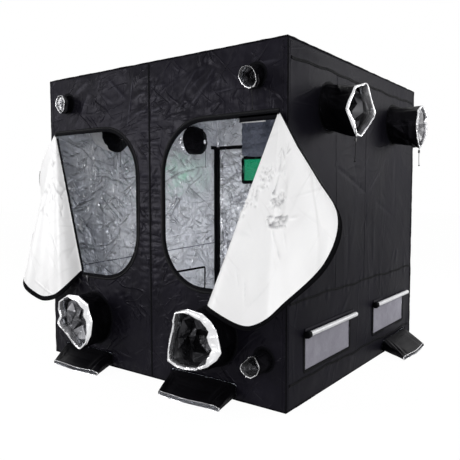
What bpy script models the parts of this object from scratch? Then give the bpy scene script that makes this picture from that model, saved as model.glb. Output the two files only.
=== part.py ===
"""Indoor grow tent: a sewn fabric skin over a frame of steel tubes, with its two front doors folded open.

Units are metres and +Z is up. The origin is the middle of the floor's underside. The front is at -Y.
"""

import math
from collections import namedtuple

import bmesh
import bpy
from mathutils import Matrix, Vector

# Skin
TENT_WIDTH = 2.0
TENT_DEPTH = 2.0
TENT_HEIGHT = 2.0
CLOTH = 0.002
SEAM_GAP = 0.0003
CUT_OVERRUN = 0.01

# Front doors, each sewn on along its outer side and zipped along the other three.
# They fill the front wall between its middle, its corners and its top, less these margins.
DOOR_MIDDLE_MARGIN = 0.11
DOOR_TOP_MARGIN = 0.38
DOOR_SILL = 0.61
DOOR_CORNER_RADIUS = 0.32
DOOR_HINGE_INSET = 0.05
FOLD_FOOT_INSET = 0.28
FOLD_FOOT_LIFT = 0.006
FLAP_HEM = 0.012
FLAP_CORNER_CLEARANCE = 0.055
FLAP_TIP_SHARE = 0.05

# Free edge of each open flap, from the foot of its fold to the end of its straight top edge.
# Each point is (across towards the door's middle, out from the wall, down from the top hinge),
# as shares of the door's width, width and height. The first point is the fold's foot.
RIGHT_FLAP_SHARES = (
    (0.268, 0.244, 1.0),
    (0.161, 0.512, 0.99),
    (-0.137, 0.536, 1.05),
    (-0.375, 0.482, 0.902),
    (-0.56, 0.446, 0.743),
    (-0.637, 0.446, 0.55),
    (-0.571, 0.482, 0.367),
    (-0.417, 0.393, 0.223),
)
LEFT_FLAP_SHARES = (
    (0.213, 0.146, 1.139),
    (-0.069, 0.141, 1.198),
    (-0.311, 0.138, 1.091),
    (-0.434, -0.041, 0.987),
    (-0.466, -0.212, 0.858),
    (-0.525, -0.309, 0.718),
    (-0.525, -0.257, 0.536),
    (-0.422, -0.126, 0.364),
)
# Main folds of the hanging flaps: place along the free edge, depth and half width as shares
RIGHT_FOLD_SHARES = ((0.45, -0.022, 0.035), (0.6, 0.012, 0.05), (0.25, 0.014, 0.05))
LEFT_FOLD_SHARES = ((0.2, -0.02, 0.04), (0.38, 0.02, 0.05), (0.6, 0.018, 0.04))
FLAP_COLUMNS = 44
FLAP_ROWS = 9

# Rear door, zipped shut, with a window in it
REAR_DOOR_WIDTH = 0.83
REAR_DOOR_HEIGHT = 1.5
REAR_DOOR_SILL = 0.12
REAR_DOOR_INSET = 0.06
REAR_DOOR_CORNER_RADIUS = 0.08
REAR_DOOR_GAP = 0.0009
WINDOW_WIDTH = 0.32
WINDOW_HEIGHT = 0.24
WINDOW_SIDE_MARGIN = 0.257
WINDOW_TOP_MARGIN = 0.085
WINDOW_CORNER_RADIUS = 0.01

# Zips and their sliders
ZIP_WIDTH = 0.012
ZIP_THICKNESS = 0.003
ZIP_END_MARGIN = 0.03
SLIDER_LENGTH = 0.022
SLIDER_OVERHANG = 0.003
SLIDER_THICKNESS = 0.005
SLIDER_TAB_LENGTH = 0.035
SLIDER_TAB_WIDTH = 0.008
SLIDER_TAB_THICKNESS = 0.0025

# Low mesh windows in the right wall, with their covers rolled up above them
VENT_LENGTH = 0.61
VENT_HEIGHT = 0.20
VENT_SILL = 0.18
VENT_FRONT_INSET = 0.20
VENT_REAR_INSET = 0.18
VENT_CORNER_RADIUS = 0.012
ROLL_OVERLAP = 0.03
ROLL_RADIUS = 0.0165
ROLL_LIFT = 0.012
ROLL_WEB = 0.016
ROLL_SHIFT = 0.03

# Sleeve ports: cable sleeves, wide intake sleeves, duct sleeves and flat floor sleeves
CABLE_RADIUS = 0.06
CABLE_LENGTH = 0.1
CABLE_TOP_DROP = 0.18
CABLE_CORNER_INSET = 0.2
LOW_CABLE_HEIGHT = 0.272
LOW_CABLE_INSET = 0.145
INTAKE_RADIUS = 0.17
INTAKE_LENGTH = 0.2
LEFT_INTAKE_INSET = 0.4
CENTRE_INTAKE_INSET = 0.45
# Height of the intakes in the band between the floor sleeves and the doors
LEFT_INTAKE_BAND_SHARE = 0.436
CENTRE_INTAKE_BAND_SHARE = 0.494
DUCT_RADIUS = 0.137
DUCT_LENGTH = 0.22
INNER_DUCT_LENGTH = 0.18
DUCT_TOP_DROP = 0.31
DUCT_FRONT_INSET = 0.49
DUCT_REAR_INSET = 0.46
FLAT_LENGTH = 0.205
FLAT_ROOT_WIDTH = 0.5
FLAT_ROOT_HEIGHT = 0.084
FLAT_MOUTH_WIDTH = 0.45
FLAT_MOUTH_HEIGHT = 0.024
FLAT_ROOT_LIFT = 0.012
FLAT_MOUTH_LIFT = 0.0006
LEFT_FLAT_INSET = 0.33
LEFT_FLAT_SWAY = 0.09
CENTRE_FLAT_INSET = 0.53
CENTRE_FLAT_SWAY = 0.05
SIDE_FLAT_INSET = 0.35
SIDE_FLAT_SWAY = -0.12
SLEEVE_SIDES = 24
# How round a sleeve is: 1 is an ellipse, and less is nearer to a rectangle
ELLIPSE_SHARE = 1.0
BOXY_SHARE = 0.25
# Rim radius at eight equal angles, counter-clockwise seen from outside, as shares of the mouth's size
DIAMOND_RIM_SHARES = (1.0, 0.72, 1.0, 0.72, 1.0, 0.72, 1.0, 0.72)
CRUMPLED_RIM_SHARES = (0.95, 1.05, 0.9, 1.0, 1.04, 0.93, 1.02, 0.96)
POLYGON_RIM_SHARES = (1.02, 0.93, 1.04, 0.95, 1.0, 1.03, 0.92, 1.04)
EVEN_RIM_SHARES = (1.0, 1.0, 1.0, 1.0, 1.0, 1.0, 1.0, 1.0)
# Along each sleeve: (share of its length, how far its shape has changed from root to mouth)
OPEN_SLEEVE_SHARES = ((0.3, 0.2), (0.65, 0.65), (1.0, 1.0))
TIED_SLEEVE_SHARES = ((0.45, 0.03), (0.75, 0.2), (0.93, 0.55), (1.0, 1.0))
# Mouths of the round sleeves: half width and half height as shares of the port's radius,
# then sideways lean and sag as shares of the sleeve's length
UPPER_LEFT_MOUTH_SHARES = (0.85, 0.85, 0.42, 0.2)
UPPER_RIGHT_MOUTH_SHARES = (0.88, 1.0, 0.12, 0.25)
LOWER_RIGHT_MOUTH_SHARES = (1.02, 1.0, -0.25, 0.0)
LEFT_INTAKE_MOUTH_SHARES = (1.04, 1.04, 0.1, -0.07)
CENTRE_INTAKE_MOUTH_SHARES = (1.16, 1.03, 0.0, 0.0)
FRONT_DUCT_MOUTH_SHARES = (1.42, 1.12, -0.14, 0.18)
REAR_DUCT_MOUTH_SHARES = (0.95, 1.06, 0.0, 0.11)
FRONT_TIED_MOUTH_SHARES = (0.14, 0.14, 0.33, 0.05)
REAR_TIED_MOUTH_SHARES = (0.14, 0.14, 0.5, 0.05)

# Drawcords of three sleeves, with a toggle on two of them
CORD_RADIUS = 0.002
TOGGLE_RADIUS = 0.007
TOGGLE_LENGTH = 0.02
TOGGLE_CLEARANCE = 0.0006
CORD_POINT_SPACING = 0.01
UPPER_RIGHT_CORD = (
    (0.838, -1.1007, 1.748),
    (0.842, -1.1012, 1.715),
    (0.847, -1.1, 1.675),
    (0.846, -1.1, 1.626),
)
RIGHT_FRONT_CORD = (
    (1.2205, -0.639, 1.577),
    (1.2215, -0.643, 1.545),
    (1.222, -0.646, 1.515),
    (1.222, -0.646, 1.48),
    (1.222, -0.646, 1.4),
    (1.22, -0.648, 1.363),
)
RIGHT_REAR_CORD = (
    (1.2205, 0.459, 1.572),
    (1.2215, 0.458, 1.54),
    (1.222, 0.457, 1.51),
    (1.222, 0.457, 1.48),
    (1.222, 0.457, 1.42),
    (1.223, 0.459, 1.384),
)
TOGGLE_POINT = 3

# Frame
POLE_RADIUS = 0.011
POLE_WALL = 0.0012
HUB_HALF = 0.013
HUB_REACH = 0.03
PEG_LENGTH = 0.06
PEG_CLEARANCE = 0.0003
POLE_SIDES = 16
BAR_RADIUS = 0.009
BAR_END_CLEARANCE = 0.004
BAR_INSET = 0.45
BAR_DROP = 0.003
HOOK_THICKNESS = 0.0025
HOOK_WIDTH = 0.014

HALF_WIDTH = TENT_WIDTH / 2
HALF_DEPTH = TENT_DEPTH / 2
HALF_CLOTH = CLOTH / 2
DOOR_TOP = TENT_HEIGHT - DOOR_TOP_MARGIN
DOOR_HEIGHT = DOOR_TOP - DOOR_SILL
DOOR_HINGE = HALF_WIDTH - DOOR_HINGE_INSET
DOOR_WIDTH = DOOR_HINGE - DOOR_MIDDLE_MARGIN
REAR_HINGE = HALF_WIDTH - REAR_DOOR_INSET
HOOK_RADIUS = POLE_RADIUS + SEAM_GAP + HOOK_THICKNESS
FRAME_X = HALF_WIDTH - CLOTH - SEAM_GAP - HUB_HALF
FRAME_Y = HALF_DEPTH - CLOTH - SEAM_GAP - HUB_HALF
FRAME_LOW = CLOTH + SEAM_GAP + HUB_HALF
FRAME_HIGH = TENT_HEIGHT - CLOTH - 2 * SEAM_GAP - max(HOOK_RADIUS, HUB_HALF)

# Wall directions: along the wall, up the wall and outwards, with the outer face's middle
WALLS = {
    "front": ((1, 0, 0), (0, 0, 1), (0, -1, 0), (0, -HALF_DEPTH, 0)),
    "rear": ((-1, 0, 0), (0, 0, 1), (0, 1, 0), (0, HALF_DEPTH, 0)),
    "right": ((0, 1, 0), (0, 0, 1), (1, 0, 0), (HALF_WIDTH, 0, 0)),
    "left": ((0, -1, 0), (0, 0, 1), (-1, 0, 0), (-HALF_WIDTH, 0, 0)),
    "roof": ((1, 0, 0), (0, 1, 0), (0, 0, 1), (0, 0, TENT_HEIGHT)),
    "floor": ((1, 0, 0), (0, 1, 0), (0, 0, 1), (0, 0, CLOTH)),
}

Sleeve = namedtuple("Sleeve", "name wall along up root mouth length sway droop rim round_share tied")
Drape = namedtuple("Drape", "side edge_shares fold_shares")


# Scene and materials


def clear_scene():
    for old in list(bpy.data.objects):
        bpy.data.objects.remove(old, do_unlink=True)


def new_collection(name):
    collection = bpy.data.collections.new(name)
    bpy.context.scene.collection.children.link(collection)
    return collection


def paint(obj, colour, roughness, metallic=0.0):
    material = bpy.data.materials.new(obj.name + "_finish")
    material.use_nodes = True
    shader = material.node_tree.nodes["Principled BSDF"]
    shader.inputs["Base Color"].default_value = (*colour, 1.0)
    shader.inputs["Roughness"].default_value = roughness
    shader.inputs["Metallic"].default_value = metallic
    material.diffuse_color = (*colour, 1.0)
    obj.data.materials.clear()
    obj.data.materials.append(material)
    return obj


def black_cloth(obj):
    return paint(obj, (0.02, 0.02, 0.025), 0.5)


def silver_cloth(obj):
    return paint(obj, (0.75, 0.76, 0.78), 0.35)


def steel(obj):
    return paint(obj, (0.85, 0.85, 0.87), 0.35, 0.6)


def black_trim(obj):
    return paint(obj, (0.015, 0.015, 0.018), 0.6)


def black_metal(obj):
    return paint(obj, (0.05, 0.05, 0.055), 0.4, 0.5)


def green_film(obj):
    return paint(obj, (0.05, 0.35, 0.2), 0.15)


def grey_mesh(obj):
    return paint(obj, (0.45, 0.44, 0.5), 0.8)


def keep(obj, name=None):
    """Put the object in the tent's collection, under its own name"""
    for collection in list(obj.users_collection):
        collection.objects.unlink(obj)
    PARTS.objects.link(obj)
    if name:
        obj.name = name
        obj.data.name = name
    return obj


def carry(name, location, *children):
    """An empty on a joint's axis that carries the moving pieces"""
    pivot = bpy.data.objects.new(name, None)
    PARTS.objects.link(pivot)
    pivot.location = location
    pivot.empty_display_size = HUB_REACH
    bpy.context.view_layer.update()
    for child in children:
        child.parent = pivot
        child.matrix_parent_inverse = pivot.matrix_world.inverted()


# Shapes


def frame_of(wall, out=0.0):
    """Matrix from a wall's own plane (along, up, out) to the tent"""
    along, up, outwards, middle = (Vector(part) for part in WALLS[wall])
    turn = Matrix((along, up, outwards)).transposed().to_4x4()
    return Matrix.Translation(middle + outwards * out) @ turn


def on_wall(wall, along, up, out=0.0):
    return frame_of(wall) @ Vector((along, up, out))


def arc(centre, radius, start, end, steps=10):
    """Points of a round corner, angles in degrees"""
    angles = [math.radians(start + (end - start) * step / steps) for step in range(steps + 1)]
    return [(centre[0] + radius * math.cos(a), centre[1] + radius * math.sin(a)) for a in angles]


def rounded_box(left, low, right, high, radius):
    corners = (
        ((right - radius, low + radius), -90),
        ((right - radius, high - radius), 0),
        ((left + radius, high - radius), 90),
        ((left + radius, low + radius), 180),
    )
    return [point for centre, start in corners for point in arc(centre, radius, start, start + 90, 5)]


def plate(name, loops, thickness, matrix, finish):
    """A flat piece: the first loop is its outline and the others are holes in it"""
    curve = bpy.data.curves.new(name, "CURVE")
    curve.dimensions = "2D"
    curve.fill_mode = "BOTH"
    curve.extrude = thickness / 2
    for loop in loops:
        spline = curve.splines.new("POLY")
        spline.points.add(len(loop) - 1)
        for point, (x, y) in zip(spline.points, loop):
            point.co = (x, y, 0.0, 1.0)
        spline.use_cyclic_u = True
    obj = bpy.data.objects.new(name, curve)
    obj.matrix_world = matrix
    return keep(finish(obj))


def to_mesh(obj, name=None):
    """The evaluated shape as a plain mesh object, with loose caps welded"""
    bpy.context.view_layer.update()
    evaluated = obj.evaluated_get(bpy.context.evaluated_depsgraph_get())
    mesh = bpy.data.meshes.new_from_object(evaluated)
    work = bmesh.new()
    work.from_mesh(mesh)
    bmesh.ops.remove_doubles(work, verts=work.verts, dist=SEAM_GAP / 10)
    bmesh.ops.recalc_face_normals(work, faces=work.faces)
    work.to_mesh(mesh)
    work.free()
    made = bpy.data.objects.new(name or obj.name, mesh)
    made.matrix_world = obj.matrix_world.copy()
    bpy.data.objects.remove(obj, do_unlink=True)
    CUTTERS.objects.link(made)
    return made


def boolean(first, operation, others):
    """The first shape with the others joined to it or cut from it"""
    for other in others:
        modifier = first.modifiers.new("boolean", "BOOLEAN")
        modifier.operation = operation
        modifier.object = other
        modifier.solver = "EXACT"
    made = to_mesh(first)
    for other in others:
        bpy.data.objects.remove(other, do_unlink=True)
    return made


def rod(start, end, radius, sides=POLE_SIDES, capped=True):
    """A round bar between two points"""
    start, end = Vector(start), Vector(end)
    work = bmesh.new()
    bmesh.ops.create_cone(
        work,
        cap_ends=capped,
        segments=sides,
        radius1=radius,
        radius2=radius,
        depth=(end - start).length,
    )
    mesh = bpy.data.meshes.new("rod")
    work.to_mesh(mesh)
    work.free()
    obj = bpy.data.objects.new("rod", mesh)
    turn = (end - start).to_track_quat("Z", "Y").to_matrix().to_4x4()
    obj.matrix_world = Matrix.Translation((start + end) / 2) @ turn
    CUTTERS.objects.link(obj)
    return obj


def block(size, matrix):
    """A box of the given sizes about a matrix's origin"""
    work = bmesh.new()
    bmesh.ops.create_cube(work, size=1.0, matrix=Matrix.Diagonal((*size, 1.0)))
    mesh = bpy.data.meshes.new("block")
    work.to_mesh(mesh)
    work.free()
    obj = bpy.data.objects.new("block", mesh)
    obj.matrix_world = matrix
    CUTTERS.objects.link(obj)
    return obj


def round_off(obj):
    obj.data.shade_smooth()
    obj.data.set_sharp_from_angle(angle=math.radians(35))
    return obj


def tube(name, start, end, radius, wall, finish):
    """A hollow pole, open at both ends"""
    obj = rod(start, end, radius, capped=False)
    sheet = obj.modifiers.new("wall", "SOLIDIFY")
    sheet.thickness = wall
    sheet.offset = -1.0
    sheet.use_even_offset = True
    round_off(obj)
    return keep(finish(obj), name)


def through(points, steps):
    """Catmull-Rom curve through the given points"""
    points = [Vector(point) for point in points]
    ends = [2 * points[0] - points[1], *points, 2 * points[-1] - points[-2]]
    curve = []
    for before, start, end, after in zip(ends, ends[1:], ends[2:], ends[3:]):
        for step in range(steps):
            t = step / steps
            slope = (end - before) * t
            bend = (2 * before - 5 * start + 4 * end - after) * t**2
            turn = (3 * start - before - 3 * end + after) * t**3
            curve.append(start + (slope + bend + turn) / 2)
    curve.append(points[-1])
    return curve


def resampled(curve, count):
    """The same curve at an equal spacing"""
    lengths = [0.0]
    for start, end in zip(curve, curve[1:]):
        lengths.append(lengths[-1] + (end - start).length)
    made = []
    piece = 0
    for step in range(count + 1):
        target = lengths[-1] * step / count
        while piece < len(curve) - 2 and lengths[piece + 1] < target:
            piece += 1
        span = lengths[piece + 1] - lengths[piece]
        share = min(1.0, (target - lengths[piece]) / span)
        made.append(curve[piece].lerp(curve[piece + 1], share))
    return made


def sheet_object(name, rows, thickness, closed, finish):
    """A cloth of the given thickness through rows of points; closed rows make a sleeve"""
    mesh = bpy.data.meshes.new(name)
    columns = len(rows[0])
    points = [point for row in rows for point in row]
    faces = []
    for row in range(len(rows) - 1):
        for column in range(columns if closed else columns - 1):
            after = (column + 1) % columns
            low, high = row * columns, (row + 1) * columns
            faces.append((low + column, low + after, high + after, high + column))
    mesh.from_pydata(points, [], faces)
    obj = bpy.data.objects.new(name, mesh)
    sheet = obj.modifiers.new("cloth", "SOLIDIFY")
    sheet.thickness = thickness
    sheet.offset = 0.0
    sheet.use_even_offset = True
    mesh.shade_smooth()
    return keep(finish(obj))


# Doors in the front wall


def door_loop(side, grow=0.0):
    """The zipped sides of a front door's opening, from the top hinge round to the sill's hinge end"""
    free = DOOR_MIDDLE_MARGIN - grow
    radius = DOOR_CORNER_RADIUS + grow
    top, sill = DOOR_TOP + grow, DOOR_SILL - grow
    loop = [(DOOR_HINGE, top)]
    loop += arc((free + radius, top - radius), radius, 90, 180)
    loop += arc((free + radius, sill + radius), radius, 180, 270)
    loop += [(DOOR_HINGE - FOLD_FOOT_INSET, sill)]
    return [(side * x, z) for x, z in loop]


def zip_loop(side):
    """A zip's tape: a narrow band just outside the opening, stopping short of the fold"""
    inner = door_loop(side, SEAM_GAP)
    outer = door_loop(side, SEAM_GAP + ZIP_WIDTH)
    step = side * ZIP_END_MARGIN
    for loop in (inner, outer):
        loop[0] = (loop[0][0] - step, loop[0][1])
        loop[-1] = (loop[-1][0] - step, loop[-1][1])
    return inner + outer[::-1]


def flap_edge(drape):
    """Free edge of an open flap as (across, out, down) lengths"""
    foot = Vector((FOLD_FOOT_INSET, 0.0, DOOR_HEIGHT - FOLD_FOOT_LIFT))
    hem = foot - Vector((FLAP_HEM, 0.0, 0.0))
    size = Vector((DOOR_WIDTH, DOOR_WIDTH, DOOR_HEIGHT))
    return [foot, hem] + [Vector(shares) * size for shares in drape.edge_shares]


def folds_at(drape, place):
    """Depth of the main folds at a place along the free edge"""
    depth = 0.0
    for middle, height, spread in drape.fold_shares:
        depth += height * math.exp(-(((place - middle) / spread) ** 2))
    return depth * DOOR_WIDTH


def flap_out(point, reach):
    """How far a flap stands out on its way to an edge point; it bends back only past the tent's corner"""
    past_corner = DOOR_HINGE_INSET + FLAP_CORNER_CLEARANCE
    if point.y >= 0.0 or point.x >= -past_corner:
        return max(0.0, point.y) * reach
    corner_reach = -past_corner / point.x
    return point.y * max(0.0, (reach - corner_reach) / (1.0 - corner_reach))


def door_flap(name, drape):
    """A door hanging open: a cloth cone from its top hinge to its free edge, with its main folds"""
    edge = resampled(through(flap_edge(drape), 8), FLAP_COLUMNS)
    standoff = SEAM_GAP + HALF_CLOTH
    rows = []
    for row in range(FLAP_ROWS + 1):
        reach = FLAP_TIP_SHARE + (1.0 - FLAP_TIP_SHARE) * row / FLAP_ROWS
        line = []
        for column, point in enumerate(edge):
            out = flap_out(point, reach) + folds_at(drape, column / FLAP_COLUMNS) * reach
            x = drape.side * (DOOR_HINGE - point.x * reach)
            line.append(on_wall("front", x, DOOR_TOP - point.z * reach, out + standoff))
        rows.append(line)
    if drape.side < 0:
        rows = [line[::-1] for line in rows]
    return sheet_object(name, rows, CLOTH, False, silver_cloth)


def zip_slider(name, place, travel, rise):
    """A zip's slider with its pull tab, on a tape that runs along travel"""
    face = travel.cross(rise)
    basis = Matrix((travel, rise, face)).transposed().to_4x4()
    body_size = (SLIDER_LENGTH, ZIP_WIDTH + SLIDER_OVERHANG, SLIDER_THICKNESS)
    body_place = place + face * (ZIP_THICKNESS + 2 * SEAM_GAP + SLIDER_THICKNESS / 2)
    body = block(body_size, Matrix.Translation(body_place) @ basis)
    tab_size = (SLIDER_TAB_WIDTH, SLIDER_TAB_LENGTH, SLIDER_TAB_THICKNESS)
    tab_place = body_place - rise * SLIDER_TAB_LENGTH / 2
    tab = block(tab_size, Matrix.Translation(tab_place) @ basis)
    made = boolean(body, "UNION", [tab])
    return keep(black_metal(made), name)


def front_door(side, word, drape):
    flap = door_flap(f"front_{word}_door", drape)
    carry(f"front_{word}_door_fold", on_wall("front", side * DOOR_HINGE, DOOR_TOP), flap)
    tape_middle = SEAM_GAP + ZIP_THICKNESS / 2
    tape = [zip_loop(side)]
    plate(f"front_{word}_zip", tape, ZIP_THICKNESS, frame_of("front", tape_middle), black_trim)
    x = side * (DOOR_HINGE - FOLD_FOOT_INSET - ZIP_END_MARGIN - SLIDER_LENGTH)
    place = on_wall("front", x, DOOR_SILL - SEAM_GAP - ZIP_WIDTH / 2)
    slider = zip_slider(f"front_{word}_slider", place, Vector((1, 0, 0)), Vector((0, 0, 1)))
    carry(f"front_{word}_slider_track", place, slider)


# Rear door


def rear_door_box(grow=0.0):
    return (
        REAR_HINGE - REAR_DOOR_WIDTH - grow,
        REAR_DOOR_SILL - grow,
        REAR_HINGE + grow,
        REAR_DOOR_SILL + REAR_DOOR_HEIGHT + grow,
    )


def rear_window_box(grow=0.0):
    left, low, right, high = rear_door_box()
    top = high - WINDOW_TOP_MARGIN
    right = right - WINDOW_SIDE_MARGIN
    return right - WINDOW_WIDTH - grow, top - WINDOW_HEIGHT - grow, right + grow, top + grow


def rear_zip_loop():
    """The tape round the top, free side and bottom of the rear door's opening"""
    left, low, right, high = rear_door_box(REAR_DOOR_GAP + SEAM_GAP)
    right -= ZIP_END_MARGIN
    radius = REAR_DOOR_CORNER_RADIUS
    inner = [(right, high)]
    inner += arc((left + radius, high - radius), radius, 90, 180, 5)
    inner += arc((left + radius, low + radius), radius, 180, 270, 5)
    inner += [(right, low)]
    outer = [(right, high + ZIP_WIDTH)]
    outer += arc((left + radius, high - radius), radius + ZIP_WIDTH, 90, 180, 5)
    outer += arc((left + radius, low + radius), radius + ZIP_WIDTH, 180, 270, 5)
    outer += [(right, low - ZIP_WIDTH)]
    return inner + outer[::-1]


def rear_door():
    radius = REAR_DOOR_CORNER_RADIUS
    middle = frame_of("rear", -HALF_CLOTH)
    window_hole = rounded_box(*rear_window_box(), WINDOW_CORNER_RADIUS)
    outline = rounded_box(*rear_door_box(), radius)
    door = plate("rear_door", [outline, window_hole], CLOTH, middle, black_cloth)
    film = rounded_box(*rear_window_box(-SEAM_GAP), WINDOW_CORNER_RADIUS)
    window = plate("view_window", [film], CLOTH, middle, green_film)
    carry("rear_door_hinge", on_wall("rear", REAR_HINGE - CLOTH, 0.0), door, window)
    tape_place = frame_of("rear", SEAM_GAP + ZIP_THICKNESS / 2)
    plate("rear_zip", [rear_zip_loop()], ZIP_THICKNESS, tape_place, black_trim)
    left, low, right, high = rear_door_box(REAR_DOOR_GAP + SEAM_GAP)
    place = on_wall("rear", right - ZIP_END_MARGIN - SLIDER_LENGTH, low - ZIP_WIDTH / 2)
    slider = zip_slider("rear_slider", place, Vector((-1, 0, 0)), Vector((0, 0, 1)))
    carry("rear_slider_track", place, slider)


# Sleeves


def sleeve_ring(half_along, half_up, round_share, rim_shares):
    """Points round a sleeve, from an ellipse to nearly a rectangle, drawn in by the rim"""
    points = []
    for step in range(SLEEVE_SIDES):
        angle = 2 * math.pi * step / SLEEVE_SIDES
        first, blend = divmod(len(rim_shares) * step / SLEEVE_SIDES, 1)
        low, high = rim_shares[int(first)], rim_shares[(int(first) + 1) % len(rim_shares)]
        share = low * (1 - blend) + high * blend
        x = math.copysign(abs(math.cos(angle)) ** round_share, math.cos(angle))
        y = math.copysign(abs(math.sin(angle)) ** round_share, math.sin(angle))
        points.append(Vector((half_along * share * x, half_up * share * y, 0.0)))
    return points


def port(sleeve):
    """The hole in the wall that a sleeve is sewn into"""
    ring = sleeve_ring(*sleeve.root, sleeve.round_share, EVEN_RIM_SHARES)
    return [(sleeve.along + point.x, sleeve.up + point.y) for point in ring]


def make_sleeve(sleeve):
    """A sleeve from inside its port to its mouth; a tied one points into the tent, drawn shut"""
    inset = SEAM_GAP + HALF_CLOTH
    root = sleeve_ring(*(half - inset for half in sleeve.root), sleeve.round_share, EVEN_RIM_SHARES)
    mouth = sleeve_ring(*sleeve.mouth, sleeve.round_share, sleeve.rim)
    start, way = (0.0, -1) if sleeve.tied else (-CLOTH, 1)
    collar = 2 * CLOTH
    stages = [(0.0, 0.0, 0.0), (collar, 0.0, 0.0)]
    for share, change in TIED_SLEEVE_SHARES if sleeve.tied else OPEN_SLEEVE_SHARES:
        stages.append((collar + (sleeve.length - collar) * share, share, change))
    rows = []
    for reach, share, change in stages:
        shift = Vector((sleeve.sway * share, -sleeve.droop * share, 0.0))
        row = []
        for low, high in zip(root, mouth):
            point = low.lerp(high, change) + shift
            place = (sleeve.along + point.x, sleeve.up + point.y, start + way * reach)
            row.append(on_wall(sleeve.wall, *place))
        rows.append(row)
    if sleeve.tied:
        rows = rows[::-1]
    return sheet_object(sleeve.name, rows, CLOTH, True, black_cloth)


def round_sleeve(name, wall, place, size, mouth_shares, rim, tied=False):
    """A sleeve whose port is a circle; place is its middle on the wall, size its radius and length"""
    radius, length = size
    wide, high, lean, sag = mouth_shares
    root = (radius, radius)
    mouth = (radius * wide, radius * high)
    turn = (length * lean, length * sag)
    return Sleeve(name, wall, *place, root, mouth, length, *turn, rim, ELLIPSE_SHARE, tied)


def flat_sleeve(name, wall, along, sway):
    """A wide low sleeve that slopes down from the wall and lies on the ground at its mouth"""
    up = FLAT_ROOT_LIFT + FLAT_ROOT_HEIGHT / 2
    drop = up - FLAT_MOUTH_LIFT - HALF_CLOTH - FLAT_MOUTH_HEIGHT / 2
    root = (FLAT_ROOT_WIDTH / 2, FLAT_ROOT_HEIGHT / 2)
    mouth = (FLAT_MOUTH_WIDTH / 2, FLAT_MOUTH_HEIGHT / 2)
    turn = (sway, drop, EVEN_RIM_SHARES, BOXY_SHARE)
    return Sleeve(name, wall, along, up, root, mouth, FLAT_LENGTH, *turn, False)


def cable_sleeves():
    x = HALF_WIDTH - CABLE_CORNER_INSET
    z = TENT_HEIGHT - CABLE_TOP_DROP
    low_x = HALF_WIDTH - LOW_CABLE_INSET
    size = (CABLE_RADIUS, CABLE_LENGTH)
    forms = (
        ("front_upper_left_sleeve", (-x, z), UPPER_LEFT_MOUTH_SHARES, POLYGON_RIM_SHARES),
        ("front_upper_right_sleeve", (x, z), UPPER_RIGHT_MOUTH_SHARES, CRUMPLED_RIM_SHARES),
        (
            "front_lower_right_sleeve",
            (low_x, LOW_CABLE_HEIGHT),
            LOWER_RIGHT_MOUTH_SHARES,
            DIAMOND_RIM_SHARES,
        ),
    )
    return [round_sleeve(name, "front", place, size, *form) for name, place, *form in forms]


def intake_sleeves():
    low = FLAT_ROOT_LIFT + FLAT_ROOT_HEIGHT
    left = LEFT_INTAKE_INSET - DOOR_HINGE
    left_up = low + (DOOR_SILL - low) * LEFT_INTAKE_BAND_SHARE
    centre = DOOR_HINGE - CENTRE_INTAKE_INSET
    centre_up = low + (DOOR_SILL - low) * CENTRE_INTAKE_BAND_SHARE
    size = (INTAKE_RADIUS, INTAKE_LENGTH)
    forms = (
        ("front_lower_left_sleeve", (left, left_up), LEFT_INTAKE_MOUTH_SHARES),
        ("front_lower_centre_sleeve", (centre, centre_up), CENTRE_INTAKE_MOUTH_SHARES),
    )
    return [
        round_sleeve(name, "front", place, size, mouth_shares, POLYGON_RIM_SHARES)
        for name, place, mouth_shares in forms
    ]


def duct_sleeves():
    """Two open sleeves on the right wall and two on the left, pushed inside and tied shut"""
    front = DUCT_FRONT_INSET - HALF_DEPTH
    rear = HALF_DEPTH - DUCT_REAR_INSET
    z = TENT_HEIGHT - DUCT_TOP_DROP
    outer = (DUCT_RADIUS, DUCT_LENGTH)
    inner = (DUCT_RADIUS, INNER_DUCT_LENGTH)
    open_forms = (
        ("right_front_sleeve", (front, z), FRONT_DUCT_MOUTH_SHARES, DIAMOND_RIM_SHARES),
        ("right_rear_sleeve", (rear, z), REAR_DUCT_MOUTH_SHARES, CRUMPLED_RIM_SHARES),
    )
    tied_forms = (
        ("left_front_inner_sleeve", (-front, z), FRONT_TIED_MOUTH_SHARES),
        ("left_rear_inner_sleeve", (-rear, z), REAR_TIED_MOUTH_SHARES),
    )
    made = [round_sleeve(name, "right", place, outer, *form) for name, place, *form in open_forms]
    for name, place, mouth_shares in tied_forms:
        made.append(round_sleeve(name, "left", place, inner, mouth_shares, EVEN_RIM_SHARES, True))
    return made


def flat_sleeves():
    left = LEFT_FLAT_INSET - DOOR_HINGE
    centre = DOOR_HINGE - CENTRE_FLAT_INSET
    side = HALF_DEPTH - SIDE_FLAT_INSET
    return [
        flat_sleeve("front_left_floor_sleeve", "front", left, LEFT_FLAT_SWAY),
        flat_sleeve("front_centre_floor_sleeve", "front", centre, CENTRE_FLAT_SWAY),
        flat_sleeve("right_floor_sleeve", "right", side, SIDE_FLAT_SWAY),
    ]


# Low mesh windows


def vent_places():
    front = VENT_FRONT_INSET + VENT_LENGTH / 2 - HALF_DEPTH
    rear = HALF_DEPTH - VENT_REAR_INSET - VENT_LENGTH / 2
    return {"right_front": front, "right_rear": rear}


def vent_loop(middle, grow=0.0):
    half = VENT_LENGTH / 2 + grow
    low, high = VENT_SILL - grow, VENT_SILL + VENT_HEIGHT + grow
    return rounded_box(middle - half, low, middle + half, high, VENT_CORNER_RADIUS)


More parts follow.
